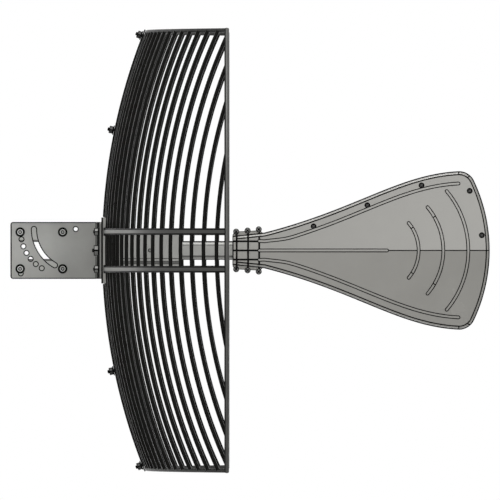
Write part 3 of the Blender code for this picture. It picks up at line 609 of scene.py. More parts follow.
def hexagon(height, flats):
    part = bmesh.new()
    inner = flats / 2
    hexagon_ring(part, inner)
    top = part.faces[:]
    for level in (HEX_FOOT, height - HEX_SHOULDER, height):
        keeps_bottom = level == HEX_FOOT
        step = bmesh.ops.extrude_face_region(part, geom=top, use_keep_orig=keeps_bottom)
        if not keeps_bottom:
            bmesh.ops.delete(part, geom=top, context="FACES_ONLY")
        top = grown(step, bmesh.types.BMFace)
        for vert in grown(step, bmesh.types.BMVert):
            drop = max(0.0, vert.co.xy.length - CONE_START * inner) * CONE_SLOPE
            vert.co.z = level - (drop if level == height else 0.0)
    for face in part.faces:
        middle = face.calc_center_median()
        turn = abs((math.degrees(math.atan2(middle.y, middle.x)) + 30) % 60 - 30)
        dark = turn < CORNER_DARK_DEG or not HEX_FOOT < middle.z < height - HEX_SHOULDER
        face.material_index = LINE if dark and middle.xy.length > inner / 2 else PLAIN
    ring = bmesh.ops.inset_region(part, faces=top, thickness=CROWN_LINE, use_even_offset=True)["faces"]
    for face in ring:
        face.material_index = LINE
    # The crown takes the third finish, which on zinc bolts is a painted highlight
    for face in top:
        face.material_index = SECOND
    for vert in {vert for face in top for vert in face.verts}:
        vert.co.xy = vert.co.xy * (CROWN_SHARE * inner / vert.co.xy.length)
        vert.co.z = height
    return part


# %% [markdown]
# A washer is a turned part. A thread could be rings side by side, but they would show on a long bolt. Here a
# zigzag is spun once round the bolt while it climbs one pitch, so the end of each turn meets the start of the
# next. Its two ends are closed and levelled, and the tip is tapered.

# %% Washer and thread
WASHER_H = 0.0014
WASHER_R = 0.0065
WASHER_CHAMFERS = (0.0002, 0.0003)
BOLT_R = 0.0027
THREAD_PITCH = 0.001
THREAD_DEPTH = 0.6 * THREAD_PITCH
THREAD_SIDES = 16
TIP_TAPER = 0.0009


def washer(radius):
    below, above = WASHER_CHAMFERS
    return turned([(0, 0), (radius - below, 0), (radius, below), (radius, WASHER_H - above),
                   (radius - above, WASHER_H), (0, WASHER_H)], 32)


def thread(radius, low, high):
    part = bmesh.new()
    points = []
    for turn in range(math.ceil((high - low) / THREAD_PITCH) + 1):
        foot = low + (turn - 1) * THREAD_PITCH
        points.append(part.verts.new((radius - THREAD_DEPTH, 0, foot)))
        points.append(part.verts.new((radius, 0, foot + THREAD_PITCH / 2)))
    edges = [part.edges.new(pair) for pair in zip(points, points[1:])]
    bmesh.ops.spin(
        part, geom=points + edges, cent=(0, 0, 0), axis=(0, 0, 1), dvec=(0, 0, THREAD_PITCH / THREAD_SIDES),
        angle=2 * math.pi, steps=THREAD_SIDES, use_duplicate=False,
    )
    bmesh.ops.remove_doubles(part, verts=part.verts, dist=MERGE)
    bmesh.ops.holes_fill(part, edges=[edge for edge in part.edges if edge.is_boundary], sides=0)
    for vert in part.verts:
        vert.co.z = min(max(vert.co.z, low), high)
        limit = radius - TIP_TAPER + (high - vert.co.z)
        if vert.co.xy.length > limit:
            vert.co.xy = vert.co.xy * (limit / vert.co.xy.length)
    bmesh.ops.dissolve_degenerate(part, dist=MERGE, edges=part.edges)
    return part


# %% [markdown]
# A whole fastener starts at the face its head presses on and looks along its bolt: washer and head behind
# that face, the shank through the grip, then washer, nut and the end of the thread. Washers and thread are
# dark, which is what makes the rings stand out on the grey plate, and the end of the bolt is plain zinc.

# %% A helper for a whole fastener
TAIL = 0.0022
THREADED = 0.012
SHANK_MIN = 0.001
TIP_RING = 0.0012
TIP_DEPTH = 0.001
PROUD = 0.0001


def fastener(bm, place, grip, radius=BOLT_R, flats=FLATS, washer_r=WASHER_R, nut_h=NUT_H,
             threaded=THREADED, tail=TAIL):
    seat = Matrix.Translation((0, 0, WASHER_H))
    behind = place @ Matrix.Rotation(math.pi, 4, "X")
    add(bm, washer(washer_r), behind, LINE)
    add(bm, hexagon(HEAD_H, flats), behind @ seat)
    start = max(grip - threaded, SHANK_MIN)
    add(bm, plug(radius, 0, start, THREAD_SIDES), place)
    ahead = place @ Matrix.Translation((0, 0, grip))
    add(bm, washer(washer_r), ahead, LINE)
    add(bm, hexagon(nut_h, flats), ahead @ seat)
    tip = grip + WASHER_H + nut_h + tail
    add(bm, thread(radius, start - THREAD_PITCH / 2, tip), place, LINE)
    add(bm, plug(radius - TIP_RING, tip - TIP_DEPTH, tip + PROUD), place)


# %% [markdown]
# A splice plate is a small slab in front of the two middle bars. Plate and bolt share one place, which stands
# square to the dish at their height, so both are modelled flat and set there together.

# %% Splice plates and their bolts
SPLICE_Z = {"inner": 0.1624, "outer": 0.2902}
SPLICE_SEAT = 0.0042
SPLICE_SHEET = 0.002
SPLICE_OUTLINE = rounded(0.017, 0.008, 0.002, 4)
SPLICE_GRIP = SPLICE_SEAT + SPLICE_SHEET + GAP + BAR_R + GAP + CHANNEL_SHEET + GAP
SPLICE_HEAD = pointing((SPLICE_SEAT + SPLICE_SHEET + GAP, 0, 0), (-1, 0, 0))
for word, sign in (("upper", 1), ("lower", -1)):
    for label, z in SPLICE_Z.items():
        turn = math.asin(sign * z / SPHERE_R)
        spot = (SPHERE_R - SPHERE_R * math.cos(turn), 0.0, sign * z)
        place = Matrix.Translation(spot) @ Matrix.Rotation(turn, 4, "Y")
        bm = bmesh.new()
        plate = slab(SPLICE_OUTLINE, "X", SPLICE_SEAT, SPLICE_SEAT + SPLICE_SHEET)
        add(bm, worked(plate, edge=SOFT_EDGE), place)
        piece(f"plate_{word}_{label}", bm, [rib_shade, crease], "bracket", f"splice_plate_{word}_{label}")
        bm = bmesh.new()
        fastener(bm, place @ SPLICE_HEAD, SPLICE_GRIP)
        finishes = [black_zinc, crease, black_zinc]
        piece(f"joint_bolt_{word}_{label}", bm, finishes, "steel", f"splice_bolt_{word}_{label}")

# %% [markdown]
# ## The back plate and the tilt bracket
# Behind the grid lies a shallow tray of folded sheet, and on it an L shaped bracket whose side plate reaches
# back past the mast. A sheet could be a flat face with a Solidify modifier, but its bends would need edge
# loops of their own. Here the outline of the sheet's edge, with its bends as arcs, is extruded to the height,
# and then drilled. The side plate has four holes for the clamp bolts, a pivot hole with a curved slot about
# it, and a row of small holes that give the tilt in steps of ten degrees.

# %% Sizes of the sheets
SHEET = 0.0018
TRAY_BACK = WEB - SHEET
TRAY_HALF_W = 0.050
TRAY_HALF_H = 0.0448
TRAY_LIP_X = 0.0014
TRAY_BEND = 0.0024
TRAY_NOTCH_X = -0.0018
TRAY_REACH = 0.08
BRACKET_T = 0.002
FLANGE_FRONT = TRAY_BACK - GAP
FLANGE_BACK = FLANGE_FRONT - BRACKET_T
FLANGE_LOW_Y = -0.034
BEND_R = 0.0048
PLATE_Y = 0.037
PLATE_END_X = -0.1292
BRACKET_HALF_H = 0.0387
CORNER_R = 0.0036
print("flange from", round(FLANGE_BACK, 4), "to", round(FLANGE_FRONT, 4))

# %% Sizes and places of the holes
HOLE_R = 0.0033
INDEX_R = 0.0027
BIG_HOLE_R = 0.0043
CLAMP_X = -0.087
CLAMP_Z = 0.025
CLAMP_SPREAD_X = 0.0289
CLAMP_BOLT_X = (CLAMP_X - CLAMP_SPREAD_X, CLAMP_X + CLAMP_SPREAD_X)
TILT_R = 0.0568
INDEX_SWEEP_DEG = (190, 240)
PIVOT = (-0.0403, 0.0291)
SLOT_HALF_W = 0.0029
SLOT_SWEEP_DEG = (180.0, 240.0)
LOW_HOLE = (-0.1151, -0.0312)


# %% Drills for the bolts
def mounting_drills(bm):
    for y in (-RIB_Z, RIB_Z):
        for z in (-RIB_Z, RIB_Z):
            drill(bm, (0, y, z), (1, 0, 0), HOLE_R)
    drill(bm, (0, 0, 0), (1, 0, 0), BIG_HOLE_R)


def clamp_drills(bm, y, heights, reach=DRILL_REACH):
    for x in CLAMP_BOLT_X:
        for z in heights:
            drill(bm, (x, y, z), (0, 1, 0), HOLE_R, reach)


# %% Drills for the slot and the small holes of the side plate
def slot_outline():
    # The curved slot about the pivot, with round ends
    start, end = SLOT_SWEEP_DEG
    ends = [arc(PIVOT, TILT_R, angle, angle, 1)[0] for angle in (start, end)]
    outline = arc(PIVOT, TILT_R + SLOT_HALF_W, start, end, 24)
    outline += arc(ends[1], SLOT_HALF_W, end, end + 180, 12)[1:-1]
    outline += arc(PIVOT, TILT_R - SLOT_HALF_W, end, start, 24)
    return outline + arc(ends[0], SLOT_HALF_W, start + 180, start + 360, 12)[1:-1]


def side_plate_drills(bm):
    # The row of small holes lies on a circle about the upper front clamp bolt, ten degrees apart
    start, end = INDEX_SWEEP_DEG
    row = arc((CLAMP_BOLT_X[1], CLAMP_Z), TILT_R, start, end, (end - start) // 10)
    for x, z in [PIVOT, LOW_HOLE] + row:
        drill(bm, (x, PLATE_Y, z), (0, 1, 0), INDEX_R)
    add(bm, slab(slot_outline(), "Y", PLATE_Y - DRILL_REACH, PLATE_Y + DRILL_REACH))


# %% The tray
half, inner, fold_x = TRAY_HALF_W, TRAY_HALF_W - SHEET, TRAY_BACK + TRAY_BEND
outline = arc((fold_x, -half + TRAY_BEND), TRAY_BEND, 180, 270, 4)
outline += [(TRAY_LIP_X, -half), (TRAY_LIP_X, -inner), (WEB, -inner), (WEB, inner), (TRAY_LIP_X, inner)]
outline += [(TRAY_LIP_X, half)] + arc((fold_x, half - TRAY_BEND), TRAY_BEND, 90, 180, 4)
tray = slab(outline, "Z", -TRAY_HALF_H, TRAY_HALF_H)
marked(tray, SECOND, lambda middle: abs(middle.y) > half - TRAY_BEND and middle.x < fold_x)
drills = bmesh.new()
clear = RIB_HALF_H + 2 * GAP
for z in (-RIB_Z, RIB_Z):
    add(drills, block((TRAY_NOTCH_X, -TRAY_REACH, z - clear), (DRILL_REACH, TRAY_REACH, z + clear)))
mounting_drills(drills)
bm = bmesh.new()
add(bm, worked(tray, drills, edge=SOFT_EDGE))
piece("tray", bm, [tray_coat, crease, bend_shade], "bracket", "back_plate")

# %% [markdown]
# The bracket's bend turns away from the light, so its outer faces get a dark coat of their own. The lines
# round the plate's edges and its small holes are inset. A wider Bevel could draw them too, but it would round
# the sheet as well. The clamp holes are drilled after the inset, because washers cover their edges. The dark
# strip at the rear end is marked off by a cutting plane, and the flange's free edge stays plain.

# %% The bracket as bent sheet with round corners
NEAR = 1e-5
BEND_SHADE_START = 0.0006
bend = (FLANGE_BACK - BEND_R, PLATE_Y - BEND_R)
outline = [(FLANGE_BACK, FLANGE_LOW_Y), (FLANGE_FRONT, FLANGE_LOW_Y)]
outline += arc(bend, BEND_R + BRACKET_T, 0, 90, 12)
outline += [(PLATE_END_X, PLATE_Y + BRACKET_T), (PLATE_END_X, PLATE_Y)]
outline += arc(bend, BEND_R, 90, 0, 12)
bracket = slab(outline, "Z", -BRACKET_HALF_H, BRACKET_HALF_H)
marked(bracket, SECOND, lambda middle: middle.x > bend[0] + BEND_SHADE_START and middle.y > bend[1]
       and abs(middle.z) < BRACKET_HALF_H / 2)
corners = []
for edge in bracket.edges:
    a, b = (vert.co for vert in edge.verts)
    at_end = max(a.x, b.x) < PLATE_END_X + NEAR or max(a.y, b.y) < FLANGE_LOW_Y + NEAR
    if at_end and abs(a.z - b.z) < NEAR:
        corners.append(edge)
round_edges(bracket, corners, CORNER_R, 8)
print("corners rounded:", len(corners))

# %% Drill, line and finish the bracket
PLATE_LINE = 0.0011
END_STRIP = 0.0018
FLANGE_RIM = 0.0008


def cut_across(part, planes):
    for spot, normal in planes:
        everything = part.verts[:] + part.edges[:] + part.faces[:]
        bmesh.ops.bisect_plane(part, geom=everything, plane_co=spot, plane_no=normal)


drills = bmesh.new()
mounting_drills(drills)
side_plate_drills(drills)
bracket = worked(bracket, drills, edge=FINE_EDGE)
lined(bracket, PLATE_LINE, PLATE_Y - GAP, PLATE_Y + BRACKET_T + GAP)
drills = bmesh.new()
clamp_drills(drills, PLATE_Y, (-CLAMP_Z, CLAMP_Z))
bracket = worked(bracket, drills)
marked(bracket, PLAIN, lambda middle: middle.y < FLANGE_LOW_Y + FLANGE_RIM)
strip_x = PLATE_END_X + END_STRIP
cut_across(bracket, [((strip_x, 0, 0), (1, 0, 0))])
marked(bracket, LINE, lambda middle: middle.x < strip_x)
bm = bmesh.new()
add(bm, bracket)
piece("bracket", bm, [bracket_coat, crease, bend_shade], "bracket", "tilt_bracket")

# %% [markdown]
# ## The mast clamp
# Two pairs of V jaws grip the mast. A jaw is a channel on its side whose two flanges are notched in a V. It
# could be folded up from a flat pattern, but a Boolean is shorter: the outline with its notch is extruded, a
# block hollows it, and then it is drilled and deburred. The face of a jaw has a dark line round it and a grey
# band of painted shade beside the line, so it is lined twice.

# %% Sizes of the jaws
JAW_HALF_L = 0.038
JAW_HALF_H = 0.0135
JAW_WEB = 0.030
JAW_TIP = 0.012
JAW_SHEET = 0.002
JAW_EDGE = 0.0005
JAW_BAND = 0.0018
V_BOTTOM = 0.027
V_MOUTH_HALF = 0.0234
V_BOTTOM_HALF = V_MOUTH_HALF - (V_BOTTOM - JAW_TIP)
CUT_HALF_L = 0.06
CUT_PAST_TIP = 0.03
WEB_DRILL_REACH = 0.01
MAST_Y = PLATE_Y + BRACKET_T + GAP + JAW_WEB
print("middle of the mast:", round(CLAMP_X, 4), round(MAST_Y, 4))


# %% The four V jaws
def jaw(side, z):
    # side is -1 next to the plate and 1 beyond the mast
    corners = [
        (-JAW_HALF_L, JAW_WEB), (JAW_HALF_L, JAW_WEB), (JAW_HALF_L, JAW_TIP), (V_MOUTH_HALF, JAW_TIP),
        (V_BOTTOM_HALF, V_BOTTOM), (-V_BOTTOM_HALF, V_BOTTOM), (-V_MOUTH_HALF, JAW_TIP),
        (-JAW_HALF_L, JAW_TIP),
    ]
    outline = [(CLAMP_X + x, MAST_Y + side * y) for x, y in corners]
    part = slab(outline, "Z", z - JAW_HALF_H, z + JAW_HALF_H)
    low, high = on_side(side, JAW_WEB - JAW_SHEET, JAW_TIP - CUT_PAST_TIP)
    half = JAW_HALF_H - JAW_SHEET
    corner = (CLAMP_X + CUT_HALF_L, MAST_Y + high, z + half)
    part = worked(part, block((CLAMP_X - CUT_HALF_L, MAST_Y + low, z - half), corner))
    web = MAST_Y + side * JAW_WEB
    drills = bmesh.new()
    clamp_drills(drills, web, (z,), WEB_DRILL_REACH)
    part = worked(part, drills, edge=JAW_EDGE)
    # A grey band of painted shade round the jaw's face, and the dark line inside it
    lined(part, JAW_BAND, web - JAW_EDGE, web + JAW_EDGE, SECOND)
    return lined(part, JAW_EDGE, web - JAW_EDGE, web + JAW_EDGE)


for word, z in (("upper", CLAMP_Z), ("lower", -CLAMP_Z)):
    for label, side in (("inner", -1), ("outer", 1)):
        bm = bmesh.new()
        add(bm, jaw(side, z))
        piece(f"jaw_{word}_{label}", bm, [clamp_coat, crease, soft_shade], "clamp", f"mast_jaw_{word}_{label}")

# %% [markdown]
# Four long bolts pull the jaws together round the mast. Their heads bear on the outer jaws and their nuts on
# the side plate. Five more bolts hold the antenna together at its middle, with their heads in front, on the
# flange and the floor of the boom's socket, and their nuts behind the bracket. All of them are fasteners like
# those of the splice plates, only with other lengths and sizes, so one helper makes them all.

# %% Long clamp bolts
CLAMP_THREADED = 0.034
HEAD_Y = MAST_Y + JAW_WEB + GAP
# Plain zinc, the dark lines, and a painted highlight on the crowns
BOLT_FINISHES = [zinc, crease, zinc_painted_highlight]
for word, z in (("upper", CLAMP_Z), ("lower", -CLAMP_Z)):
    for label, x in zip(("rear", "front"), CLAMP_BOLT_X):
        bm = bmesh.new()
        place = pointing((x, HEAD_Y, z), (0, -1, 0))
        fastener(bm, place, HEAD_Y - (PLATE_Y - GAP), threaded=CLAMP_THREADED)
        piece(f"long_bolt_{word}_{label}", bm, BOLT_FINISHES, "steel", f"clamp_bolt_{word}_{label}")

# %% Bolts through the flange and the middle
SOCKET_BACK = 0.0046
SOCKET_FLANGE = 0.005
SOCKET_FLOOR = 0.0197
FRAME_NUT_H = 0.0060
FRAME_TAIL = 0.0012
MIDDLE_SIZES = {"radius": 0.0029, "flats": 0.0143, "washer_r": 0.008, "nut_h": 0.0066}
nut_x = FLANGE_BACK - GAP
head_x = SOCKET_BACK + SOCKET_FLANGE + GAP
for word, z in (("upper", RIB_Z), ("lower", -RIB_Z)):
    for label, side in (("left", 1), ("right", -1)):
        bm = bmesh.new()
        place = pointing((head_x, side * RIB_Z, z), (-1, 0, 0))
        fastener(bm, place, head_x - nut_x, nut_h=FRAME_NUT_H, tail=FRAME_TAIL)
        piece(f"flange_bolt_{word}_{label}", bm, BOLT_FINISHES, "steel", f"frame_bolt_{word}_{label}")
bm = bmesh.new()
head_x = SOCKET_FLOOR + GAP
fastener(bm, pointing((head_x, 0, 0), (-1, 0, 0)), head_x - nut_x, **MIDDLE_SIZES)
piece("middle_bolt", bm, BOLT_FINISHES, "steel", "socket_bolt")

# %% [markdown]
# ## The boom and its socket
# The boom is a square tube with rounded corners. A Solidify modifier could give a single skin its wall, but
# when one rounded bar is taken out of another, the hole for the pin goes with the same cut. The tube's sides
# stay bright, its corners get painted shade where they look up or down, and a softer line of painted shade
# runs between. A pin goes across it, with a dark ring round each end.

# %% Sizes of the boom and the pin
BOOM_HALF = 0.0128
BOOM_WALL = 0.002
BOOM_CORNER = 0.0060
BORE_CORNER = 0.002
BOOM_END = 0.210
PAST_END = 0.01
UPPER_TURNS = (0.70, 0.97)
LOWER_TURNS = (0.60, 0.90)
LEVEL, SIDEWAYS = 0.05, 0.999
PIN_X = 0.0607
PIN_R = 0.0018
PIN_HALF_L = 0.0196
PIN_CHAMFER = 0.0004
RING_R = 0.0026
RING_Y = (0.0186, 0.0193)

# %% The square tube
tube = slab(rounded(BOOM_HALF, BOOM_HALF, BOOM_CORNER, 8), "X", BOOM_START, BOOM_END)
for face in tube.faces:
    # How far a face turns from level to sideways tells the dark painted shade of a corner from the softer one
    across = abs(face.normal.y)
    dark_end, soft_start = UPPER_TURNS if face.normal.z > 0 else LOWER_TURNS
    if LEVEL < across < dark_end:
        face.material_index = LINE
    elif soft_start < across < SIDEWAYS:
        face.material_index = SECOND
inner = BOOM_HALF - BOOM_WALL
drills = slab(rounded(inner, inner, BORE_CORNER, 4), "X", BOOM_START - PAST_END, BOOM_END + PAST_END)
drill(drills, (PIN_X, 0, 0), (0, 1, 0), PIN_R + GAP, sides=20)
bm = bmesh.new()
add(bm, worked(tube, drills))
piece("boom", bm, [tube_metal, crease, soft_shade], "boom", "boom_tube")

# %% The pin
end, chamfer_r = PIN_HALF_L, PIN_R - PIN_CHAMFER
pin = turned([(0, -end), (chamfer_r, -end), (PIN_R, PIN_CHAMFER - end), (PIN_R, end - PIN_CHAMFER),
              (chamfer_r, end), (0, end)])
bm = bmesh.new()
add(bm, pin, pointing((PIN_X, 0, 0), (0, 1, 0)), PLAIN)
for side in (-1, 1):
    add(bm, plug(RING_R, *RING_Y), pointing((PIN_X, 0, 0), (0, side, 0)), LINE)
piece("pin", bm, [zinc, crease], "steel", "boom_pin")

# %% [markdown]
# The plastic socket holds the boom in front of the grid: a flange, a body that is open at the bottom, and a
# lid that closes it. Body and lid have the same rounded outline, as two halves of one moulding would have, so
# both start as that outline and are hollowed with blocks. The lid has a shallow groove along each side, with
# a grey painted shade in it.

# %% Sizes of the socket
SOCKET_END = 0.103
SOCKET_HALF_W = 0.019
SOCKET_HALF_H = 0.0225
SOCKET_FLANGE_HALF_W = 0.034
SOCKET_FLANGE_HALF_H = 0.030
SOCKET_SPLIT_Z = -0.0109
SOCKET_OPEN_X = 0.0217
SOCKET_OUTLINE = rounded(SOCKET_HALF_W, SOCKET_HALF_H, 0.0016, 3)
FLANGE_OUTLINE = rounded(SOCKET_FLANGE_HALF_W, SOCKET_FLANGE_HALF_H, 0.004, 6)
FLANGE_OVERLAP = 0.001
GROOVE_Z = (-0.0186, -0.0146)
GROOVE_DEPTH = 0.0005
GROOVE_PAST = 0.002
BORE = BOOM_HALF + GAP
WIDE, LONG = 0.05, 0.2
print("bore of the socket:", round(2 * BORE, 4))

# %% The socket
flange = slab(FLANGE_OUTLINE, "X", SOCKET_BACK, SOCKET_BACK + SOCKET_FLANGE)
mounts = bmesh.new()
mounting_drills(mounts)
body = slab(SOCKET_OUTLINE, "X", SOCKET_BACK + FLANGE_OVERLAP, SOCKET_END)
body = worked(body, block((SOCKET_FLOOR, -BORE, -BORE), (LONG, BORE, BORE)))
body = worked(body, block((SOCKET_OPEN_X, -WIDE, -WIDE), (LONG, WIDE, SOCKET_SPLIT_Z)), edge=SOFT_EDGE)
bm = bmesh.new()
add(bm, worked(flange, mounts, edge=SOFT_EDGE))
add(bm, body)
piece("socket", bm, [socket_plastic, crease], "socket", "boom_socket")

# %% The lid of the socket
lid = slab(SOCKET_OUTLINE, "X", SOCKET_OPEN_X + GAP, SOCKET_END)
lid = worked(lid, block((0, -WIDE, SOCKET_SPLIT_Z - GAP), (LONG, WIDE, WIDE)))
lid = worked(lid, block((0, -BORE, -BORE), (LONG, BORE, BORE)))
grooves = bmesh.new()
for side in (-1, 1):
    low, high = on_side(side, SOCKET_HALF_W - GROOVE_DEPTH, SOCKET_HALF_W + GROOVE_PAST)
    # The grooves' faces get the softer painted shade
    add(grooves, block((0, low, GROOVE_Z[0]), (LONG, high, GROOVE_Z[1])), index=SECOND)
bm = bmesh.new()
add(bm, worked(lid, grooves, edge=FINE_EDGE))
piece("socket_lid", bm, [socket_plastic, crease, soft_shade], "socket", "boom_socket_cap")

# %% [markdown]
# ## The feed housing
# The housing is two flat half shells with a gasket between them. Seen from the side its outline is a funnel
# that opens from the neck to a round front. A subdivided cage could be pulled to this shape, but its outline
# would only come near. Here one half shell is the exact outline extruded in steps: a thin dark gasket, the
# wall, a fillet along the rim, and a fine dark line just inside the fillet. Its top is then cut across and
# lifted to a low roof whose ridge runs out to the tip.

# %% Sizes of the housing
NECK_X = 0.1729
NECK_HALF_H = 0.020
FUNNEL = ((0.2166, 0.0244), (0.3429, 0.0566), (0.3989, 0.1039), (0.4808, 0.1078))
CORNER_ARC_R = 0.0228
FRONT_R = 0.222
TIP_X = 0.5229


# %% The outline
def funnel(steps):
    # Points along the funnel's edge, on a cubic curve with two handles
    a, b, c, d = (Vector(point) for point in FUNNEL)
    points = []
    for i in range(steps + 1):
        t, s = i / steps, 1 - i / steps
        points.append(s ** 3 * a + 3 * s * s * t * b + 3 * s * t * t * c + t ** 3 * d)
    return points


def upper_outline():
    # From the neck along the funnel, round the corner and along the front to the tip
    points = [(NECK_X, NECK_HALF_H)] + [tuple(point) for point in funnel(40)]
    front_centre = (TIP_X - FRONT_R, 0.0)
    corner_centre = (FUNNEL[-1][0], FUNNEL[-1][1] - CORNER_ARC_R)
    meet = math.degrees(math.atan2(corner_centre[1], corner_centre[0] - front_centre[0]))
    points += arc(corner_centre, CORNER_ARC_R, 90, meet, 14)[1:]
    reach = math.dist(corner_centre, front_centre) + CORNER_ARC_R
    return points + arc(front_centre, reach, meet, 0, 20)[1:]


def outline_height(x):
    samples = funnel(80)
    for a, b in zip(samples, samples[1:]):
        if a.x <= x <= b.x:
            return a.y + (b.y - a.y) * (x - a.x) / (b.x - a.x)
    return samples[0].y if x < samples[0].x else samples[-1].y


upper = upper_outline()
print("points on the upper outline:", len(upper), "front at", round(upper[-1][0], 4))

# %% [markdown]
# A shape that has to follow the roof is made flat first. A Shrinkwrap modifier could lay it on the roof, but
# the roof is a plain formula, and moving the points by it is exact. Their height above the flat top is then
# read as height above the roof. Planes cut the shape at the ridge and every few millimetres, so that it can
# bend there. The ridge itself is a hair wide and stands up a little, like the bead where a mould closes.

# %% The roof
RIDGE_H = 0.017
SLOPES = (0.01, 0.085)
FLAT_TOP = 0.010
RIDGE_HALF = 0.0007
ROOF_CUTS = 30
SEAM = 0.00015
GASKET_H = 0.0008


def roof(x, z):
    share = (x - NECK_X) / (TIP_X - NECK_X)
    return RIDGE_H - (SLOPES[0] + (SLOPES[1] - SLOPES[0]) * share) * abs(z)


def roof_planes():
    planes = [((0, 0, z), (0, 0, 1)) for z in (-RIDGE_HALF, 0, RIDGE_HALF)]
    step = (TIP_X - NECK_X) / ROOF_CUTS
    return planes + [((NECK_X + step * i, 0, 0), (1, 0, 0)) for i in range(1, ROOF_CUTS)]


def lift(part, side):
    for vert in part.verts:
        level = side * vert.co.y
        if level > GASKET_H + SEAM + NEAR:
            x, z = vert.co.x, vert.co.z
            bead = RIDGE_HALF if abs(z) < MERGE else 0.0
            vert.co.y = side * (roof(x, z) + level - FLAT_TOP + bead)
    marked(part, LINE, lambda middle: abs(middle.z) < RIDGE_HALF and side * middle.y > FLAT_TOP)


print("roof height at the tip's corner:", round(roof(*FUNNEL[-1]), 4))

# %% One half shell
GASKET_W = 0.0017
FILLET = 0.0022
RING_W = 0.0017


def raised_face(part, faces, height, keep=False):
    # Extrudes faces along Y and gives the new ones back
    step = bmesh.ops.extrude_face_region(part, geom=faces, use_keep_orig=keep)
    bmesh.ops.translate(part, verts=grown(step, bmesh.types.BMVert), vec=(0, height, 0))
    if not keep:
        bmesh.ops.delete(part, geom=faces, context="FACES_ONLY")
    return grown(step, bmesh.types.BMFace)


def shell_body(side):
    part = bmesh.new()
    ring = upper + [(x, -z) for x, z in reversed(upper[:-1])]
    face = part.faces.new([part.verts.new((x, side * SEAM, z)) for x, z in ring])
    top = raised_face(part, [face], side * GASKET_H, keep=True)
    bmesh.ops.recalc_face_normals(part, faces=part.faces)
    bmesh.ops.inset_region(part, faces=top, thickness=GASKET_W, use_even_offset=True)
    for each in part.faces:
        each.material_index = LINE
    top = raised_face(part, top, side * (FLAT_TOP - SEAM - GASKET_H))
    rim = {edge for each in top for edge in each.edges}
    for each in {each for edge in rim for each in edge.link_faces}:
        each.material_index = PLAIN
    round_edges(part, list(rim), FILLET, 6)
    top = [each for each in part.faces if abs(side * each.calc_center_median().y - FLAT_TOP) < MERGE]
    bmesh.ops.recalc_face_normals(part, faces=part.faces)
    ring = bmesh.ops.inset_region(part, faces=top, thickness=RING_W, use_even_offset=True)["faces"]
    for each in ring:
        each.material_index = LINE
    cut_across(part, roof_planes())
    lift(part, side)
    return part


# %% [markdown]
# The raised ribs are strips with round ends: two long ones that keep their distance from the edge, one along
# the middle, and three arcs like ripples. They could be pressed out of the roof with a displacement map, but
# only real faces keep their edges sharp at this size. A strip is a flat outline, extruded, with its top
# inset. Its flanks are the dark faces between the two outlines.

# %% Strips with round ends
RAISED = 0.0011
RAISED_HALF_W = 0.0027
FLANK = 0.0014
STRIP_FOOT = 0.006
SUNK = 0.0001
STRIP_CUTS = 12


def round_end(tip, before):
    # Half a circle at the end of a strip, from its left side to its right
    way = math.degrees(math.atan2(tip[1] - before[1], tip[0] - before[0]))
    return arc(tip, RAISED_HALF_W, way + 90, way - 90, 8)


def strip_outline(line):
    left, right = [], []
    for i, spot in enumerate(line):
        a, b = line[max(i - 1, 0)], line[min(i + 1, len(line) - 1)]
        way = math.atan2(b[1] - a[1], b[0] - a[0])
        dx, dz = -math.sin(way) * RAISED_HALF_W, math.cos(way) * RAISED_HALF_W
        left.append((spot[0] + dx, spot[1] + dz))
        right.append((spot[0] - dx, spot[1] - dz))
    return left[1:-1] + round_end(line[-1], line[-2]) + right[-2:0:-1] + round_end(line[0], line[1])


def raised_strip(side, line):
    part = bmesh.new()
    face = part.faces.new([part.verts.new((x, side * STRIP_FOOT, z)) for x, z in strip_outline(line)])
    top = raised_face(part, [face], side * (FLAT_TOP - SUNK - STRIP_FOOT), keep=True)
    bmesh.ops.recalc_face_normals(part, faces=part.faces)
    for each in part.faces:
        each.material_index = LINE
    bmesh.ops.inset_region(part, faces=top, thickness=FLANK, use_even_offset=True)
    for each in top:
        each.material_index = PLAIN
    verts = list({vert for each in top for vert in each.verts})
    bmesh.ops.translate(part, verts=verts, vec=(0, side * (SUNK + RAISED), 0))
    low, high = min(x for x, z in line), max(x for x, z in line)
    cuts = [low + (high - low) * i / STRIP_CUTS for i in range(STRIP_CUTS + 1)]
    cut_across(part, [((0, 0, 0), (0, 0, 1))] + [((x, 0, 0), (1, 0, 0)) for x in cuts])
    for vert in part.verts:
        vert.co.y = side * (roof(vert.co.x, vert.co.z) + side * vert.co.y - FLAT_TOP)
    return part


# %% The raised ribs of one half shell
WAVE_X = 0.368
WAVE_RADII = (0.058, 0.0915, 0.1255)
WAVE_HALF_DEG = 40.0
COLLAR_RIB_X = (0.1787, 0.1942, 0.2093)
RAISED_START = COLLAR_RIB_X[-1]
CENTRE_RAISED_END = 0.3831
SIDE_RAISED_END = 0.4802
SIDE_RIB_INSET = (0.0116, 0.0168)
SIDE_RIB_EASE = 0.045


def side_rib_line(sign):
    # Starts level with the collar's outer rib and then keeps a steady distance from the edge
    points = []
    for i in range(41):
        x = RAISED_START + (SIDE_RAISED_END - RAISED_START) * i / 40
        ease = min((x - RAISED_START) / SIDE_RIB_EASE, 1.0)
        inset = SIDE_RIB_INSET[0] + (SIDE_RIB_INSET[1] - SIDE_RIB_INSET[0]) * ease * ease * (3 - 2 * ease)
        points.append((x, sign * (outline_height(x) - inset)))
    return points


def raised_ribs(bm, side):
    for sign in (1, -1):
        add(bm, raised_strip(side, side_rib_line(sign)))
    length = CENTRE_RAISED_END - RAISED_START
    add(bm, raised_strip(side, [(RAISED_START + length * i / 8, 0.0) for i in range(9)]))
    for radius in WAVE_RADII:
        add(bm, raised_strip(side, arc((WAVE_X, 0), radius, -WAVE_HALF_DEG, WAVE_HALF_DEG, 24)))


# %% [markdown]
# Where the mould's slides met they left fine lines, across the rim at the corners and across two of the
# ripples. A cut this narrow would need a Boolean for each. A small dark block that stands out of the surface
# by a hair reads the same.

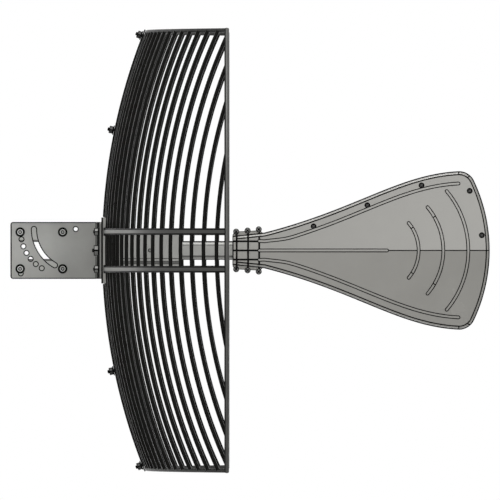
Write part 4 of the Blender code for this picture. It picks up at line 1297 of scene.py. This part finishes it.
# %% Fine joint lines
JOINT_SPOTS = ((0.4806, 0.1078, 90.0), (0.4955, 0.1020, 48.0))
JOINT_LENGTH = 0.0042
JOINT_LEVEL = -0.0007
TICKS = ((WAVE_RADII[0], 32.0), (WAVE_RADII[1], 30.0))
TICK_LENGTH = 2 * RAISED_HALF_W - FLANK
TICK_LEVEL = RAISED - 0.0006
HAIR_HALF_H = 0.0009
HAIR_HALF_W = 0.0007


def line_across(bm, side, x, z, way_deg, length, level):
    # A short low block across a rim or a strip, lengthwise along its way
    part = block((-length / 2, -HAIR_HALF_H, -HAIR_HALF_W), (length / 2, HAIR_HALF_H, HAIR_HALF_W))
    turn = Matrix.Rotation(-math.radians(way_deg), 4, "Y")
    add(bm, part, Matrix.Translation((x, side * (roof(x, z) + level), z)) @ turn, LINE)


def joint_lines(bm, side):
    for sign in (1, -1):
        for x, z, way_deg in JOINT_SPOTS:
            way = math.radians(way_deg)
            x, z = x - FILLET * math.cos(way), z - FILLET * math.sin(way)
            line_across(bm, side, x, sign * z, sign * way_deg, JOINT_LENGTH, JOINT_LEVEL)
        for radius, turn_deg in TICKS:
            turn = math.radians(turn_deg)
            x, z = WAVE_X + radius * math.cos(turn), sign * radius * math.sin(turn)
            line_across(bm, side, x, z, sign * turn_deg, TICK_LENGTH, TICK_LEVEL)


# %% [markdown]
# The neck has a collar: a thin flange with three pairs of screw bosses, and a lattice of dark ribs that stand
# on edge. Its screws have a cross in their heads. A cross could be painted as a pattern, but cut with a
# Boolean it also shades. Heads and bosses are turned parts, and the lattice is made of slabs and blocks.

# %% A screw head with a cross
HEAD_SHARE = 0.8
HEAD_LEVELS = (0.0006, 0.0013, 0.0016)
CROSS_HALF_W = 0.0008
CROSS_LEVELS = (0.0008, 0.003)
AXIS_TURN = Matrix.Rotation(math.pi / 4, 4, "Z")


def screw_head(radius, head_index, cross_index):
    # A low domed head with a cross in it, turned by an eighth
    wall, shoulder, crown = HEAD_LEVELS
    reach = radius * HEAD_SHARE
    head = turned([(0, 0), (radius, 0), (radius, wall), (reach, shoulder), (0, crown)], 20)
    for face in head.faces:
        face.material_index = head_index
    low, high = CROSS_LEVELS
    cross = bmesh.new()
    for half_x, half_y in ((reach, CROSS_HALF_W), (CROSS_HALF_W, reach)):
        add(cross, block((-half_x, -half_y, low), (half_x, half_y, high)), AXIS_TURN, cross_index)
    return worked(head, cross)


# %% Sizes of the collar
COLLAR_CORNERS = ((0.1732, 0.0216), (0.1759, 0.0256), (0.2105, 0.0274), (0.2145, 0.0235))
COLLAR_FLANGE_T = 0.006
COLLAR_EDGE = 0.0009
BOSS_SPOTS = ((0.1780, 0.0256), (0.1935, 0.0270), (0.2087, 0.0287))
COLLAR_BOSS = ((0, 0), (0.0041, 0), (0.0041, 0.0094), (0.0036, 0.010), (0, 0.010))
COLLAR_SCREW_R = 0.0031
RAIL_ENDS = ((NECK_X, NECK_HALF_H), (0.2140, 0.0242))
RAIL_INSETS = (0.0018, 0.0002)
RAIL_Y = (0.0055, 0.0063)
COLLAR_RIB_Z = (-0.0124, 0.0, 0.0124)
COLLAR_RIB_HALF_W = 0.00125
COLLAR_RIB_SIDE = ((0.002, 0.0256), (0.009, 0.0256), (0.0176, 0.0195))
LATTICE_Y = (0.0075, 0.0174)
NECK_FACE_Y = (0.0075, 0.0171)
NECK_FACE_X = 0.0012
NECK_FACE_HALF_H = 0.0178
END_LINE_T = 0.0016
END_LINE_HALF_H = 0.0115


# %% The collar of one half shell
def collar_flange(bm, side):
    outline = list(COLLAR_CORNERS) + [(x, -z) for x, z in reversed(COLLAR_CORNERS)]
    flange = slab(outline, "Y", *on_side(side, SEAM, COLLAR_FLANGE_T))
    add(bm, worked(flange, edge=COLLAR_EDGE))
    boss_top = COLLAR_BOSS[-1][1]
    for x, z in BOSS_SPOTS:
        for sign in (1, -1):
            add(bm, turned(COLLAR_BOSS), pointing((x, side * SEAM, sign * z), (0, side, 0)), LINE)
            place = pointing((x, side * boss_top, sign * z), (0, side, 0))
            add(bm, screw_head(COLLAR_SCREW_R, SECOND, LINE), place)


def collar_lattice(bm, side):
    half_w = COLLAR_RIB_HALF_W
    inner, outer = RAIL_INSETS
    for sign in (1, -1):
        rail = [(x, sign * (z - inner)) for x, z in RAIL_ENDS]
        rail += [(x, sign * (z - outer)) for x, z in reversed(RAIL_ENDS)]
        add(bm, slab(rail, "Y", *on_side(side, *RAIL_Y)), index=LINE)
    for x in COLLAR_RIB_X:
        outline = [(side * y, z) for y, z in COLLAR_RIB_SIDE]
        outline += [(side * y, -z) for y, z in reversed(COLLAR_RIB_SIDE)]
        add(bm, worked(slab(outline, "X", x - half_w, x + half_w), edge=FINE_EDGE), index=LINE)
    low, high = on_side(side, *LATTICE_Y)
    end_line = block((NECK_X, low, -END_LINE_HALF_H), (NECK_X + END_LINE_T, high, END_LINE_HALF_H))
    add(bm, end_line, index=LINE)
    for z in COLLAR_RIB_Z:
        corner = (COLLAR_RIB_X[-1], high, z + half_w)
        add(bm, block((NECK_X + GAP, low, z - half_w), corner, FINE_EDGE), index=LINE)
    low, high = on_side(side, *NECK_FACE_Y)
    corner = (COLLAR_RIB_X[0], high, NECK_FACE_HALF_H)
    add(bm, block((NECK_X + NECK_FACE_X, low, -NECK_FACE_HALF_H), corner, FINE_EDGE))


# %% [markdown]
# Five more screws sit in round pockets along one long edge and the front. The left shell is the right one
# turned half a turn about the boom, as two parts from one mould would be, so its screws lie on its lower
# half. A copy could be turned, but with a side of 1 or -1 every helper makes either shell, and its faces
# point outwards at once. The drills carry the number of the dark finish, and a cut face keeps it.

# %% Build both half shells
SCREW_SPOTS = ((0.2832, 0.0328), (0.3563, 0.0614), (0.4299, 0.0885), (0.4954, 0.0810), (0.5118, 0.0207))
SCREW_R = 0.0029
POCKET_R = 0.0040
POCKET_DEPTH = 0.0024
BORE_END_X = BOOM_END + 0.001
for word, side in (("right", -1), ("left", 1)):
    floors = [(x, side * (roof(x, z) - POCKET_DEPTH), -side * z) for x, z in SCREW_SPOTS]
    drills = bmesh.new()
    for x, y, z in floors:
        drill(drills, (x, y + side * DRILL_REACH, z), (0, 1, 0), POCKET_R)
    add(drills, block((NECK_X - WIDE, -BORE, -BORE), (BORE_END_X, BORE, BORE)))
    # The pockets' walls keep this dark finish, as painted shade in the recesses
    for face in drills.faces:
        face.material_index = LINE
    bm = bmesh.new()
    add(bm, worked(shell_body(side), drills))
    for spot in floors:
        add(bm, screw_head(SCREW_R, LINE, THIRD), pointing(spot, (0, side, 0)))
    raised_ribs(bm, side)
    joint_lines(bm, side)
    collar_flange(bm, side)
    collar_lattice(bm, side)
    coats = [feed_plastic, crease, screw_coat, black_zinc]
    piece(f"feed_{word}", bm, coats, "feed", f"feed_shell_{word}", sharp_deg=30.0)

# %% [markdown]
# ## Floor and light
# The antenna stands over a pale disc, which has no corner that could show. A white floor under soft light
# would still come out grey, so this one glows a little. Only the camera sees it, and it throws no light up at
# the bars.

# %% Floor
FLOOR_R = 6.0
FLOOR_PLACE = Matrix.Translation((0.2, 0, -0.60))
FLOOR_GLOW = 0.55
bm = bmesh.new()
bmesh.ops.create_circle(bm, cap_ends=True, segments=96, radius=FLOOR_R, matrix=FLOOR_PLACE)
mesh = bpy.data.meshes.new("floor")
bm.to_mesh(mesh)
bm.free()
floor_paint = finish("floor_paint", (0.80, 0.80, 0.79), 0.9, mottle=0.01)
shader = floor_paint.node_tree.nodes["Principled BSDF"]
shader.inputs["Emission Color"].default_value = (1, 1, 1, 1)
shader.inputs["Emission Strength"].default_value = FLOOR_GLOW
mesh.materials.append(floor_paint)
floor = bpy.data.objects.new("floor", mesh)
floor.visible_diffuse = False
floor.visible_glossy = False
scene.collection.objects.link(floor)
floor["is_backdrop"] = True

# %% [markdown]
# The antenna is lit like a product in a studio tent. The camera sees plain white behind it. Diffuse light
# comes evenly from a grey room. An even room would do for gloss too, but then a bar would reflect the same on
# all its sides. So reflections see another room, bright above and dark low in front and at both sides, and
# the sides of a bar that turn away go dark.

# %% Helpers for the room
world = bpy.data.worlds.new("room")
scene.world = world
world.use_nodes = True
nodes, links = world.node_tree.nodes, world.node_tree.links
nodes.clear()


def link(value, socket):
    if isinstance(value, (int, float)):
        socket.default_value = value
    else:
        links.new(value, socket)


def maths(operation, *values):
    node = nodes.new("ShaderNodeMath")
    node.operation = operation
    for value, socket in zip(values, node.inputs):
        link(value, socket)
    return node.outputs[0]


def white(strength):
    background = nodes.new("ShaderNodeBackground")
    background.inputs["Color"].default_value = (1, 1, 1, 1)
    link(strength, background.inputs["Strength"])
    return background.outputs["Background"]


def either(switch, off, on):
    mix = nodes.new("ShaderNodeMixShader")
    for value, socket in zip((switch, off, on), mix.inputs):
        links.new(value, socket)
    return mix.outputs["Shader"]


def fade(value, start, end, first, last):
    node = nodes.new("ShaderNodeMapRange")
    node.interpolation_type = "SMOOTHSTEP"
    for socket, number in zip(("From Min", "From Max", "To Min", "To Max"), (start, end, first, last)):
        node.inputs[socket].default_value = number
    link(value, node.inputs["Value"])
    return node.outputs["Result"]


# %% The room
FRONT_FADE = (-0.10, 0.10, 0.08, 1.9)
SIDE_FADE = (0.25, 0.85, 1.0, 0.12)
EVEN_LIGHT = 0.40
where = nodes.new("ShaderNodeTexCoord")
split = nodes.new("ShaderNodeSeparateXYZ")
links.new(where.outputs["Generated"], split.inputs["Vector"])
height = maths("ADD", split.outputs["Z"], maths("ADD", split.outputs["Y"], 1.0))
front = fade(height, *FRONT_FADE)
sides = fade(maths("ABSOLUTE", split.outputs["X"]), *SIDE_FADE)
ray = nodes.new("ShaderNodeLightPath")
mirrored = maths("MULTIPLY", front, sides)
lighting = either(ray.outputs["Is Glossy Ray"], white(EVEN_LIGHT), white(mirrored))
output = nodes.new("ShaderNodeOutputWorld")
links.new(either(ray.outputs["Is Camera Ray"], lighting, white(1.0)), output.inputs["Surface"])
print("nodes of the room:", len(nodes))

# %% [markdown]
# Three soft lamps finish the light: a large one from above, a weaker one from below, and a tiny one at the
# left that brightens the plates behind the grid. A brighter room would do for the first two, but it would
# light all sides alike. They throw no shadows, as a tent of white cloth wouldn't.


# %% Lamps
def soft_light(name, spot, size, power, target=(0.25, -0.1, 0.0), spread_deg=180.0):
    data = bpy.data.lights.new(name, "AREA")
    data.shape = "DISK"
    data.size = size
    data.energy = power
    data.spread = math.radians(spread_deg)
    data.use_shadow = False
    lamp = bpy.data.objects.new(name, data)
    lamp.location = spot
    lamp.rotation_euler = (Vector(target) - Vector(spot)).to_track_quat("-Z", "Y").to_euler()
    lamp.visible_camera = False
    scene.collection.objects.link(lamp)


soft_light("overhead", (0.3, -2.9, 2.9), 2.0, 61)
soft_light("from_below", (0.3, -2.9, -2.2), 2.0, 12)
soft_light("from_left", (-0.12, -0.45, 0.03), 0.10, 0.0165, (-0.02, 0.0, 0.0), 26.0)
print("lamps:", len(bpy.data.lights))

# %% [markdown]
# ## Camera
# The picture is a flat side view without perspective. An orthographic camera would give that in this view,
# but the other views move the camera round the whole antenna, and a very long lens far away frames it well
# in all of them. The frame is 0.68 m tall at the plane of the antenna.

# %% Camera
FRAME_H = 0.68
FRAME_CENTRE = Vector((0.2838, -0.05, 0.0006))
lens = bpy.data.cameras.new("camera")
lens.type = "PERSP"
lens.sensor_fit = "VERTICAL"
lens.sensor_width = 36.0
lens.sensor_height = 26.5
lens.lens = 1728.0
distance = FRAME_H * lens.lens / lens.sensor_height
lens.clip_end = 3 * distance
camera = bpy.data.objects.new("camera", lens)
camera.location = FRAME_CENTRE - Vector((0, distance, 0))
camera.rotation_euler = (math.pi / 2, 0, 0)
scene.collection.objects.link(camera)
scene.camera = camera
scene.view_settings.view_transform = "Standard"
print("camera distance:", round(distance, 2))

# %% [markdown]
# ## Sizes
# The box of the finished model is printed, so that a piece that came out too large shows at once.

# %% Print the box of the model
low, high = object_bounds()
print("visual box:", tuple(low), tuple(high))
